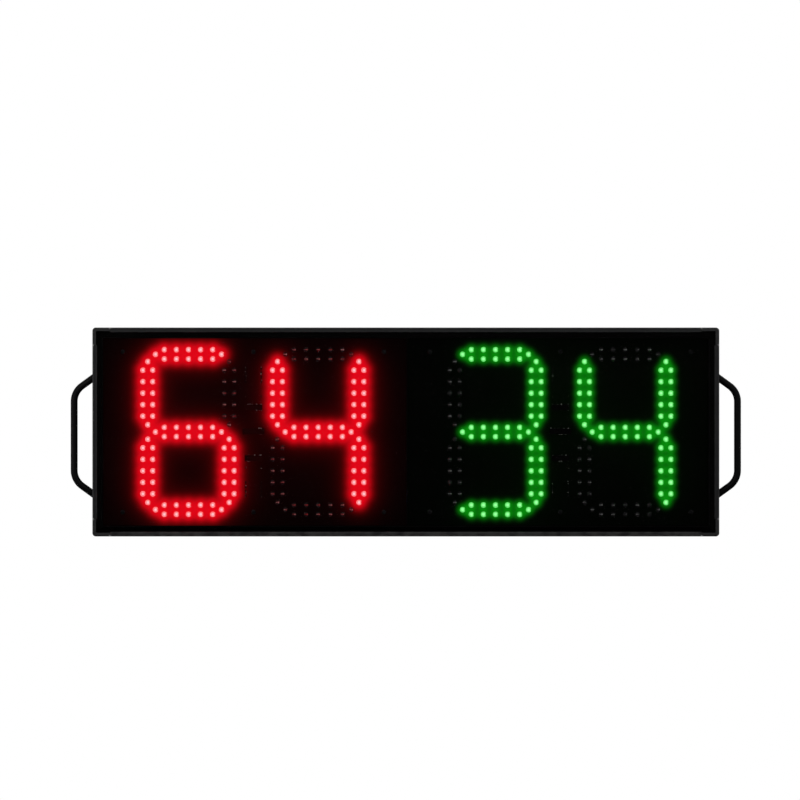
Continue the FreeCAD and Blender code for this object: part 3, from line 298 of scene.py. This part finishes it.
DRIVER_RISES = (0.0284, 0.0008, -0.03)  # of the driver chips above the board's middle
DRIVER_HALF = 0.0032
# Of the small parts above and below the middle: the first one's rise, the pitch, and half the bare body.
RESISTOR_RISE, RESISTOR_PITCH, RESISTOR_BARE = 0.058, 0.005, 0.0011
CAPACITOR_RISE, CAPACITOR_BARE = 0.041, 0.0007
CHIP_HAZE = 0.008  # the red light that reaches the red board's chips


def sparse_tin(g):
    """Tinned metal, bright only where the solder is clean."""
    return g.mix(g.fade(g.noise(420, detail=2), 0.36, 0.46), (0.95, 0.95, 0.93), (0.008, 0.008, 0.008))


def chip_epoxy(name):
    """Driver chips: black epoxy bodies between two rows of tinned pins."""
    g = Graph(name)
    x, y, z = g.split()
    off_centre = [g.math("ABSOLUTE", g.math("SUBTRACT", z, MIDDLE.z + rise)) for rise in DRIVER_RISES]
    nearest = g.math("MINIMUM", g.math("MINIMUM", off_centre[0], off_centre[1]), off_centre[2])
    pin = g.math("GREATER_THAN", nearest, DRIVER_HALF + 0.00003)
    grain = g.noise(4000, detail=2)
    epoxy = g.mix(grain, (0.001, 0.001, 0.001), (0.002, 0.002, 0.0021))
    tin = sparse_tin(g)
    roughness = g.math("SUBTRACT", 0.7, g.math("MULTIPLY", pin, 0.25))
    normal = g.bump(grain, 0.00001, 0.4)
    plated = g.math("MULTIPLY", pin, 0.8)
    shader = g.shader(Base_Color=g.mix(pin, epoxy, tin), Metallic=plated, Roughness=roughness, Normal=normal)
    g.put(shader.inputs["Specular IOR Level"], 0.06)
    # Painted red glow on the chips of the red board, for the red light that reaches them.
    g.glow(shader, RED_GLOW, g.math("MULTIPLY", g.math("LESS_THAN", x, 0.0), CHIP_HAZE / THROUGH_WINDOW))
    return g.finish(shader)


def chip_ends(name):
    """Chip resistors and capacitors: a dark body between tinned ends."""
    g = Graph(name)
    rise = g.math("ABSOLUTE", g.math("SUBTRACT", g.split()[2], MIDDLE.z))
    resistor = g.math("GREATER_THAN", rise, (CAPACITOR_RISE + RESISTOR_RISE) / 2)
    first = g.math("ADD", g.math("MULTIPLY", resistor, RESISTOR_RISE - CAPACITOR_RISE), CAPACITOR_RISE)
    bare = g.math("ADD", g.math("MULTIPLY", resistor, RESISTOR_BARE - CAPACITOR_BARE), CAPACITOR_BARE)
    from_middle = g.math("PINGPONG", g.math("SUBTRACT", rise, first), RESISTOR_PITCH / 2)
    end = g.math("GREATER_THAN", from_middle, bare)
    body = g.mix(resistor, (0.02, 0.013, 0.008), (0.0015, 0.0015, 0.0016))
    tin = sparse_tin(g)
    roughness = g.math("ADD", g.math("MULTIPLY", g.noise(2000, detail=2), 0.2), 0.4)
    plated = g.math("MULTIPLY", end, 0.8)
    shader = g.shader(Base_Color=g.mix(end, body, tin), Metallic=plated, Roughness=roughness)
    g.put(shader.inputs["Specular IOR Level"], 0.1)
    return g.finish(shader)


CLEAR = clear_epoxy("clear_epoxy", (0.05, 0.048, 0.05), (0.1, 0.096, 0.1))
NYLON = moulded("socket_nylon", (0.6, 0.57, 0.46), (0.7, 0.67, 0.57), 2000, 0.00002, 0.45)
BLACK_ZINC = metal("black_zinc", (0.03, 0.03, 0.033), (0.06, 0.06, 0.065), 0.45)
NICKEL = metal("nickel_plate", (0.6, 0.58, 0.53), (0.72, 0.7, 0.65), 0.25)
GREEN_MASK = gloss("green_mask", (0.004, 0.07, 0.03), (0.008, 0.11, 0.045), 0.3, 0.5)
MOULDING = moulded("black_moulding", (0.006, 0.006, 0.0065), (0.012, 0.012, 0.0125), dust_and_painted_light=0.06, gloss=0.4)
GREY_KEY = gloss("key_grey", (0.33, 0.34, 0.36), (0.4, 0.41, 0.43), 0.36, 0.3)
ROCKER = gloss("rocker_black", (0.012, 0.012, 0.013), (0.02, 0.02, 0.021), 0.24, 0.4)
CHIP = chip_epoxy("chip_epoxy")

# The start of a node's name, and its material. The longest that fits wins.
LOOKS = {
    "corner_": MOULDING,
    "front_window": smoked_window(),
    "window_gasket": moulded("gasket_foam", (0.001,) * 3, (0.002,) * 3, 3000, 0.0001, 0.9, gloss=0.1),
    "back_cover": powder_coat("cover_coat", (0.02, 0.02, 0.021), (0.032, 0.032, 0.034), 0.5, 0.5),
    "cover_screws": metal("blackened_steel", (0.05, 0.05, 0.055), (0.12, 0.12, 0.125), 0.4),
    "handle_": powder_coat("handle_coat", (0.0012, 0.0012, 0.0014), (0.0026, 0.0026, 0.003), 0.42, 0.12),
    "handle_nuts": BLACK_ZINC,
    "handle_washers": BLACK_ZINC,
    "inner_screws": BLACK_ZINC,
    "display_board_": plain_mask("black_mask"),
    "driver_chips": CHIP,
    "board_passives": chip_ends("chip_parts"),
    "board_standoffs": metal("brass", (0.6, 0.42, 0.16), (0.75, 0.56, 0.26), 0.28),
    "ribbon_sockets": NYLON,
    "lead_sockets": NYLON,
    "ribbon_": gloss("ribbon_grey", (0.3, 0.3, 0.31), (0.38, 0.38, 0.4), 0.4, 0.1),
    "controller_board": GREEN_MASK,
    "controller_chips": moulded("chip_black", (0.012, 0.012, 0.013), (0.02, 0.02, 0.022), 4000, 0.00001, 0.6),
    "controller_power_parts": metal("can_aluminium", (0.35, 0.35, 0.36), (0.55, 0.55, 0.56), 0.3),
    "control_overlay": gloss("overlay_film", (0.022, 0.023, 0.026), (0.03, 0.031, 0.034), 0.42, 0.2),
    "key_switches": moulded("switch_nylon", (0.02, 0.02, 0.022), (0.03, 0.03, 0.033), 2500, 0.00002, 0.4),
    "key_red_": gloss("key_red", (0.5, 0.012, 0.012), (0.6, 0.02, 0.018), 0.32, 0.3),
    "key_green_": gloss("key_green", (0.01, 0.26, 0.045), (0.02, 0.33, 0.06), 0.32, 0.3),
    "key_swap": GREY_KEY,
    "key_brightness": GREY_KEY,
    "charge_lamp": clear_epoxy("lamp_epoxy", (0.35, 0.36, 0.34), (0.45, 0.46, 0.44)),
    "rocker_": ROCKER,
    "charge_jack": moulded("jack_black", (0.015, 0.015, 0.016), (0.024, 0.024, 0.026), 2500, 0.00002, 0.35),
    "jack_nut": NICKEL,
    "jack_cap": moulded("cap_rubber", (0.018, 0.018, 0.018), (0.03, 0.03, 0.03), 2200, 0.00005, 0.75, 0.25),
    "battery_cells": metal("cell_steel", (0.42, 0.42, 0.43), (0.55, 0.55, 0.56), 0.3),
    "battery_strips": NICKEL,
    "battery_sleeve": gloss("sleeve_blue", (0.015, 0.06, 0.3), (0.025, 0.09, 0.4), 0.15, 0.6),
    "battery_saddles": MOULDING,
    "battery_protection_board": GREEN_MASK,
    "supply_leads_red": gloss("lead_red", (0.45, 0.02, 0.02), (0.55, 0.03, 0.03), 0.4, 0.1),
    "supply_leads_black": gloss("lead_black", (0.015, 0.015, 0.015), (0.022, 0.022, 0.022), 0.4, 0.1),
    "leds_red_": lit_lens("lens_red_lit", (1.0, 0.457, 0.483), (0.9, 0.004, 0.01), 1.25),
    "leds_green_": lit_lens("lens_green_lit", (0.309, 1.0, 0.331), (0.01, 0.62, 0.03), 1.2),
    **{"leds_" + digit + "_dark": CLEAR for digit in DIGITS},
}
INKS = {
    "white": moulded("ink_white", (0.55, 0.55, 0.54), (0.64, 0.64, 0.63), 5000, 0.00001, 0.5),
    "grey": moulded("ink_grey", (0.09, 0.09, 0.095), (0.12, 0.12, 0.125), 5000, 0.00001, 0.5),
    "red": moulded("ink_red", (0.42, 0.014, 0.014), (0.5, 0.02, 0.02), 5000, 0.00001, 0.5),
    "green": moulded("ink_green", (0.01, 0.24, 0.045), (0.018, 0.3, 0.06), 5000, 0.00001, 0.5),
}
LEAD_FRAME = lead_metal()

for name, node in NODES.items():
    if name.startswith("rail_"):
        look = rail_metal(name)
    else:
        look = LOOKS[max((start for start in LOOKS if name.startswith(start)), key=len)]
    for slot in node.material_slots:
        slot.material = look


# ---- Making pieces ---------------------------------------------------------------------------
def piece(name, bm, material, body=CASE):
    """Turns a bmesh into an object that rides on a body."""
    bmesh.ops.recalc_face_normals(bm, faces=bm.faces)
    mesh = bpy.data.meshes.new(name)
    bm.to_mesh(mesh)
    bm.free()
    return adopt(name, mesh, material, body)


def adopt(name, mesh, material, body=CASE):
    obj = bpy.data.objects.new(name, mesh)
    bpy.context.scene.collection.objects.link(obj)
    mesh.materials.append(material)
    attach(obj, body)
    return obj


def frustum(bm, lower, upper):
    """A closed solid between two outlines of (x, y, z) with as many points each."""
    low = [bm.verts.new(p) for p in lower]
    high = [bm.verts.new(p) for p in upper]
    bm.faces.new(low)
    bm.faces.new(high[::-1])
    for i in range(len(low)):
        j = (i + 1) % len(low)
        bm.faces.new((low[i], high[i], high[j], low[j]))


def circle(x, z, radius, count=40):
    turn = 2 * math.pi / count
    return [(x + radius * math.cos(k * turn), z + radius * math.sin(k * turn)) for k in range(count)]


def rounded(x, z, half_x, half_z, radius, steps=8):
    """A rectangle with rounded corners."""
    points = []
    for k, (sx, sz) in enumerate(((1, 1), (-1, 1), (-1, -1), (1, -1))):
        for i in range(steps + 1):
            angle = math.pi / 2 * (k + i / steps)
            cx, cz = x + sx * (half_x - radius), z + sz * (half_z - radius)
            points.append((cx + radius * math.cos(angle), cz + radius * math.sin(angle)))
    return points


class Print:
    """Marks that stand a little proud of a surface. surface(z) is the surface's Y at a height."""

    def __init__(self, surface, thick=0.00005, root=0.00002):
        self.bm = bmesh.new()
        self.surface, self.thick, self.root = surface, thick, root

    def levels(self, outline):
        low = [(x, self.surface(z) - self.root, z) for x, z in outline]
        high = [(x, self.surface(z) + self.thick, z) for x, z in outline]
        return low, high

    def shape(self, outline):
        frustum(self.bm, *self.levels(outline))

    def bar(self, x0, z0, x1, z1, width):
        """A straight stroke with square ends."""
        length = math.hypot(x1 - x0, z1 - z0)
        ax, az = (x1 - x0) / length * width / 2, (z1 - z0) / length * width / 2
        self.shape([(x0 - az, z0 + ax), (x0 + az, z0 - ax), (x1 + az, z1 - ax), (x1 - az, z1 + ax)])

    def band(self, inner, outer):
        """A closed stroke between two outlines with as many points each."""
        levels = [level for line in (inner, outer) for level in self.levels(line)]
        rings = [[self.bm.verts.new(p) for p in level] for level in levels]
        for a, b in ((0, 1), (1, 3), (3, 2), (2, 0)):
            for i in range(len(inner)):
                j = (i + 1) % len(inner)
                self.bm.faces.new((rings[a][i], rings[b][i], rings[b][j], rings[a][j]))

    def ring(self, x, z, inner, outer):
        self.band(circle(x, z, inner), circle(x, z, outer))

    def frame(self, x, z, half_x, half_z, radius, width):
        inner = rounded(x, z, half_x - width, half_z - width, radius - width)
        self.band(inner, rounded(x, z, half_x, half_z, radius))

    def digit(self, x, z, half_x, half_z, width):
        """A seven-segment 8."""
        gap = width * 0.62
        for rise in (-half_z, 0.0, half_z):
            self.bar(x - half_x + gap, z + rise, x + half_x - gap, z + rise, width)
        for side in (-half_x, half_x):
            for middle in (-half_z / 2, half_z / 2):
                reach = half_z / 2 - gap
                self.bar(x + side, z + middle - reach, x + side, z + middle + reach, width)

    def sun(self, x, z, radius, width):
        self.shape(circle(x, z, radius * 0.45, 24))
        for k in range(8):
            c, s = math.cos(k * math.pi / 4), math.sin(k * math.pi / 4)
            near, far = radius * 0.65, radius
            self.bar(x + near * c, z + near * s, x + far * c, z + far * s, width)

    def arrow(self, x, z, reach, way, width):
        """An arrow along X. way is 1 or -1."""
        head = reach * 0.42
        self.bar(x - way * reach, z, x + way * (reach - head), z, width)
        tip, neck = x + way * reach, x + way * (reach - head)
        self.shape([(neck, z - head * 0.8), (tip, z), (neck, z + head * 0.8)])

    def finish(self, name, material, slot="overlay_print", body=CASE):
        return piece(name, self.bm, material, body)


# ---- Inside the display ----------------------------------------------------------------------
def led_places(node):
    """X and Z of each LED in a node, from the tips of its domes."""
    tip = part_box(node)[0].y
    places = []
    for v in NODES[node].data.vertices:
        x, y, z = v.co
        if y < tip + 1e-5 and all(math.hypot(x - a, z - b) > 0.001 for a, b in places):
            places.append((x, z))
    return places


# How strongly a lit LED lights the board near it and further off, and how far each reaches. A power
# above 1 makes the light stronger where it comes from several LEDs. Most is where it levels off.
SPILLS = {
    "red": {"near": 0.85, "reach": 0.0073, "power": 1, "far": 0.093, "far_reach": 0.0066, "most": 0.81},
    "green": {"near": 0.29, "reach": 0.0066, "power": 2, "far": 0.0006, "far_reach": 0.011, "most": 0.26},
}
# The faint haze that each adds all over its board, and its reach.
HAZE, HAZE_REACH = {"red": 0.00033, "green": 0.00003}, {"red": 0.04, "green": 0.054}
# The leads of dark red LEDs glow with this share of the painted spilled light, and with this much painted red
# glow besides, near lit LEDs or not.
LEAD_SHARE, LEAD_GLOW_BESIDES = 0.6, 0.48
FILM_STEP, FILM_THICK, FILM_EDGE = 0.0015, 0.00004, 0.0003


def spilled_light(colour, gx, gz):
    """The light of all lit LEDs of a colour on the board, as it should look through the window."""
    law = SPILLS[colour]
    near, far = np.zeros_like(gx), np.zeros_like(gx)
    for digit in DIGITS:
        if digit.startswith(colour):
            for x, z in led_places("leds_" + digit + "_lit"):
                r = np.hypot(gx - x, gz - z)
                near += np.exp(-((r / law["reach"]) ** 2))
                far += law["far"] * np.exp(-r / law["far_reach"])
                far += HAZE[colour] * np.exp(-r / HAZE_REACH[colour])
    light = law["near"] * near ** law["power"] + far
    return light / (1 + (light / law["most"]) ** 4) ** 0.25


def spill_film(colour, glow):
    """The front lacquer of a display board, finely divided so that it can carry the spilled light."""
    low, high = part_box("display_board_" + colour)
    xs = np.linspace(low.x + FILM_EDGE, high.x - FILM_EDGE, round((high.x - low.x) / FILM_STEP))
    zs = np.linspace(low.z + FILM_EDGE, high.z - FILM_EDGE, round((high.z - low.z) / FILM_STEP))
    gx, gz = np.meshgrid(xs, zs)
    light = spilled_light(colour, gx, gz) / THROUGH_WINDOW
    index = np.arange(gx.size).reshape(gx.shape)
    quads = np.stack([index[:-1, :-1], index[:-1, 1:], index[1:, 1:], index[1:, :-1]], -1).reshape(-1, 4)
    rim = [*index[0, :-1], *index[:-1, -1], *index[-1, :0:-1], *index[:0:-1, 0]]
    front = np.stack([gx.ravel(), np.full(gx.size, BOARD_FRONT - FILM_THICK), gz.ravel()], 1)
    back = front[rim] + (0, FILM_THICK * 0.9, 0)
    under = [gx.size + k for k in range(len(rim))]
    sides = [(rim[k - 1], under[k - 1], under[k], rim[k]) for k in range(len(rim))]
    mesh = bpy.data.meshes.new("spill_film_" + colour)
    faces = quads.tolist() + [tuple(int(i) for i in side) for side in sides] + [under[::-1]]
    mesh.from_pydata(np.concatenate([front, back]).tolist(), [], faces)
    spill = np.concatenate([light.ravel(), light.ravel()[rim]])
    mesh.attributes.new("spill", "FLOAT", "POINT").data.foreach_set("value", spill)
    adopt("spill_film_" + colour, mesh, glowing_mask("glowing_mask_" + colour, glow))


def square(x0, x1, y, z, half):
    """A rectangle across Y, from x0 to x1 and half as high to each side of z."""
    return [(x0, y, z - half), (x1, y, z - half), (x1, y, z + half), (x0, y, z + half)]


# Of an LED's lead frame: how far its feet are in front of the board and its top behind the dome's tip,
# half the leads' pitch and width, the span of each lead's head along X, half the heads' height, and the cup.
FOOT_RISE, TOP_SUNK = 0.0013, 0.0036
LEAD_REACH, LEAD_HALF = 0.00127, 0.0003
CUP_HEAD, POST_HEAD, HEAD_HALF = (0.0, 0.0018), (-0.0018, -0.0007), 0.0005
CUP_RISE, CUP_FOOT_R, CUP_RIM_R = 0.0006, 0.0005, 0.00085


def lead_frames(digit):
    """The silvered leads and cup that show inside each unlit LED of a digit."""
    node = "leds_" + digit + "_dark"
    base, top = BOARD_FRONT - FOOT_RISE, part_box(node)[0].y + TOP_SUNK
    bm = bmesh.new()
    for x, z in led_places(node):
        for foot, (left, right) in ((LEAD_REACH, CUP_HEAD), (-LEAD_REACH, POST_HEAD)):
            low = square(x + foot - LEAD_HALF, x + foot + LEAD_HALF, base, z, LEAD_HALF)
            frustum(bm, low, square(x + left, x + right, top, z, HEAD_HALF))
        middle = x + sum(CUP_HEAD) / 2
        low = [(a, top, b) for a, b in circle(middle, z, CUP_FOOT_R, 12)]
        high = [(a, top - CUP_RISE, b) for a, b in circle(middle, z, CUP_RIM_R, 12)]
        frustum(bm, low, high)
    frames = piece("lead_frames_" + digit, bm, LEAD_FRAME).data
    points = np.empty(3 * len(frames.vertices))
    frames.vertices.foreach_get("co", points)
    points = points.reshape(-1, 3)
    # Painted red glow on the leads of the red digits.
    if digit.startswith("red"):
        spill = LEAD_SHARE * spilled_light("red", points[:, 0], points[:, 2]) / THROUGH_WINDOW + LEAD_GLOW_BESIDES
        frames.attributes.new("spill", "FLOAT", "POINT").data.foreach_set("value", spill)


spill_film("red", RED_GLOW)
spill_film("green", GREEN_GLOW)
for digit in DIGITS:
    lead_frames(digit)


# ---- Marks on the control panel --------------------------------------------------------------
def middle_of(node):
    low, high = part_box(node)
    return (low.x + high.x) / 2, (low.z + high.z) / 2


overlay_low, overlay_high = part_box("control_overlay")
PANEL_HALF_X = (overlay_high.x - overlay_low.x) / 2
PANEL_HALF_Z = (overlay_high.z - overlay_low.z) / 2
PANEL_MID_X, PANEL_MID_Z = middle_of("control_overlay")
SWAP, DIM, LAMP = middle_of("key_swap"), middle_of("key_brightness"), middle_of("charge_lamp")
STROKE = 0.0006
BORDER_INSET = 0.0018
RING_INNER = 0.0078  # of the ring round each key
ICON_RISE, ICON_SIDE = 0.013, 0.0165  # of the symbols above and beside the keys
DIGIT_HALF_X, DIGIT_HALF_Z, DIGIT_REACH = 0.0018, 0.0035, 0.0034
ARROW_RISE, ARROW_REACH, SUN_RADIUS = 0.0018, 0.0045, 0.0042
BATTERY_RISE, BATTERY_HALF_X, BATTERY_HALF_Z = 0.0085, 0.0052, 0.0027
CHARGE_FROM, CHARGE_TO = 0.0036, 0.0014  # the filled part, to each side of the battery's middle
ZONE_RISE, ZONE_HALF_Z, ZONE_MARGIN = 0.0039, 0.0149, 0.0135  # of the frame round a pair of keys


def on_overlay(z):
    return overlay_high.y


def overlay_marks():
    """The border, and the symbols of swap, brightness and charge."""
    marks = Print(on_overlay)
    half_x, half_z = PANEL_HALF_X - BORDER_INSET, PANEL_HALF_Z - BORDER_INSET
    marks.frame(PANEL_MID_X, PANEL_MID_Z, half_x, half_z, 0.003, 0.0004)
    for x, z in (SWAP, DIM):
        marks.ring(x, z, RING_INNER, 0.0082)
    x, z = SWAP
    for way in (1, -1):
        marks.arrow(x + ICON_SIDE, z + way * ARROW_RISE, ARROW_REACH, way, STROKE)
    x, z = DIM
    marks.sun(x - ICON_SIDE, z, SUN_RADIUS, STROKE)
    x, z = LAMP[0], LAMP[1] + BATTERY_RISE
    marks.frame(x, z, BATTERY_HALF_X, BATTERY_HALF_Z, 0.0007, 0.0005)
    marks.bar(x + BATTERY_HALF_X, z, x + BATTERY_HALF_X + 0.001, z, 0.0022)
    marks.bar(x - CHARGE_FROM, z, x + CHARGE_TO, z, 0.0026)
    marks.finish("overlay_marks", INKS["white"])


def pair_marks(colour):
    """The frame round a pair's two keys, a ring round each, and an 88 above each with its digit bright."""
    tens, units = middle_of("key_" + colour + "_tens"), middle_of("key_" + colour + "_units")
    zone, bright, pale = Print(on_overlay), Print(on_overlay), Print(on_overlay)
    middle = (tens[0] + units[0]) / 2
    half_x = abs(tens[0] - units[0]) / 2 + ZONE_MARGIN
    zone.frame(middle, tens[1] + ZONE_RISE, half_x, ZONE_HALF_Z, 0.004, 0.0008)
    toward_tens = math.copysign(DIGIT_REACH, tens[0] - units[0])
    for (x, z), active in ((tens, 1), (units, -1)):
        zone.ring(x, z, RING_INNER, 0.0084)
        for marks, side in ((bright, active), (pale, -active)):
            marks.digit(x + side * toward_tens, z + ICON_RISE, DIGIT_HALF_X, DIGIT_HALF_Z, STROKE)
    zone.finish("zone_" + colour, INKS[colour])
    bright.finish("digit_marks_" + colour, INKS["white"])
    pale.finish("other_digit_marks_" + colour, INKS["grey"])


def key_marks():
    """Raised symbols in the dish of each key, which move with it."""
    reach = 0.0019
    for colour in ("red", "green"):
        for place in ("tens", "units"):
            key = "key_" + colour + "_" + place
            x, z = middle_of(key)
            mark = key_print(key)
            mark.shape([(x - reach, z - reach * 0.6), (x + reach, z - reach * 0.6), (x, z + reach)])
            mark.finish(key + "_mark", INKS["white"], "key_grey", key)
    x, z = SWAP
    mark = key_print("key_swap")
    for way in (-1, 1):
        tip, foot = x + way * reach * 1.3, x + way * reach * 0.25
        mark.shape([(foot, z - reach * 0.8), (tip, z), (foot, z + reach * 0.8)])
    mark.finish("key_swap_mark", INKS["grey"], "key_grey", "key_swap")
    mark = key_print("key_brightness")
    mark.sun(*DIM, reach * 1.25, 0.0004)
    mark.finish("key_brightness_mark", INKS["grey"], "key_grey", "key_brightness")


def key_print(key):
    """Marks on the floor of a key's dish."""
    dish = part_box(key)[1].y - 0.0005
    return Print(lambda z: dish, 0.0002, 0.0002)


# The pressed half lies flat, this far below the housing's rim. The other rises from a valley just above
# the housing's middle.
ROCKER_SUNK, ROCKER_VALLEY, ROCKER_TILT = 0.001333, 0.00038, math.radians(20)


def rocker_marks():
    """The bar of ON on the half that is pressed, and the ring of OFF on the other."""
    x, z = middle_of("rocker_housing")
    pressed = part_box("rocker_housing")[1].y - ROCKER_SUNK
    valley, slope = z + ROCKER_VALLEY, math.tan(ROCKER_TILT)
    mark = Print(lambda at: pressed + max(0.0, valley - at) * slope, 0.00006, 0.00004)
    mark.bar(x, z + 0.0028, x, z + 0.0062, 0.0006)
    mark.ring(x, z - 0.0044, 0.0013, 0.0018)
    mark.finish("rocker_marks", INKS["white"], "rocker_black", "rocker_key")


overlay_marks()
pair_marks("red")
pair_marks("green")
key_marks()
rocker_marks()


# ---- Studio ----------------------------------------------------------------------------------
scene = bpy.context.scene
scene.view_settings.view_transform = "Standard"


def studio_world():
    """White to the camera. The room is soft, and dark below and straight before and behind the object."""
    g = Graph("studio", "World")
    x, y, z = g.split(g.coordinates["Generated"])
    sideways = g.fade(g.math("ABSOLUTE", y), 0.98, 0.6, 0.004, 0.4)
    upward = g.fade(z, -0.3, 0.0, 0.2, 1.0)
    room = g.add("Background", {"Color": (1.0, 1.0, 1.0), "Strength": g.math("MULTIPLY", sideways, upward)})
    backdrop = g.add("Background", {"Color": (1.0, 1.0, 1.0), "Strength": 1.0})
    scene.world = g.finish(g.blend(g.add("LightPath").outputs["Is Camera Ray"], room, backdrop))


def softbox(name, place, size, power):
    """A rectangular light that faces the object."""
    light = bpy.data.lights.new(name, "AREA")
    light.shape = "RECTANGLE"
    light.size, light.size_y = size
    light.energy = power
    obj = bpy.data.objects.new(name, light)
    obj.location = place
    obj.rotation_euler = (MIDDLE - Vector(place)).to_track_quat("-Z", "Y").to_euler()
    scene.collection.objects.link(obj)


def studio_floor():
    """White paper that glows with painted light: less near the object, a painted shade there, and more
    further off, so that it runs into the white behind the object.
    """
    g = Graph("studio_floor")
    paper = g.noise(12, detail=5)
    shader = g.shader(Base_Color=g.mix(paper, (0.74, 0.74, 0.74), (0.78, 0.78, 0.78)), Roughness=0.9)
    away = g.add("VectorMath", {0: g.place}, operation="LENGTH").outputs["Value"]
    g.put(shader.inputs["Emission Color"], (1.0, 1.0, 1.0))
    # Painted light: the floor glows, less near the object and more further off.
    g.put(shader.inputs["Emission Strength"], g.fade(away, 0.35, 0.95, 0.3, 0.72))
    half = 4.0
    corners = [(-half, -half, 0), (half, -half, 0), (half, half, 0), (-half, half, 0)]
    mesh = bpy.data.meshes.new("studio_floor")
    mesh.from_pydata(corners, [], [(0, 1, 2, 3)])
    mesh.materials.append(g.finish(shader))
    floor = bpy.data.objects.new("studio_floor", mesh)
    floor.location.z = -0.0003  # just clear of the case
    scene.collection.objects.link(floor)
    floor.visible_glossy = False  # so the window doesn't mirror it


def level_camera():
    """Square on to the window, without perspective."""
    data = bpy.data.cameras.new("camera")
    data.type = "ORTHO"
    data.ortho_scale = 0.9188
    camera = bpy.data.objects.new("camera", data)
    aside, above = -0.0067, 0.03675  # of the window's middle
    camera.location = (aside, -3.0, MIDDLE.z + above)
    camera.rotation_euler = (math.pi / 2, 0, 0)
    scene.collection.objects.link(camera)
    scene.camera = camera


studio_world()
studio_floor()
softbox("front_strip", (-0.3, -2.4, 1.15), (3.4, 0.12), 14)
softbox("key_top", (-0.3, -0.7, 1.5), (1.8, 0.5), 2)
softbox("side_left", (-1.2, -0.9, 0.15), (0.4, 0.3), 1.2)
softbox("side_right", (1.5, -0.6, 0.5), (0.5, 1.0), 0.1)
softbox("back_top", (0.4, 1.3, 1.1), (1.6, 0.8), 14)
level_camera()
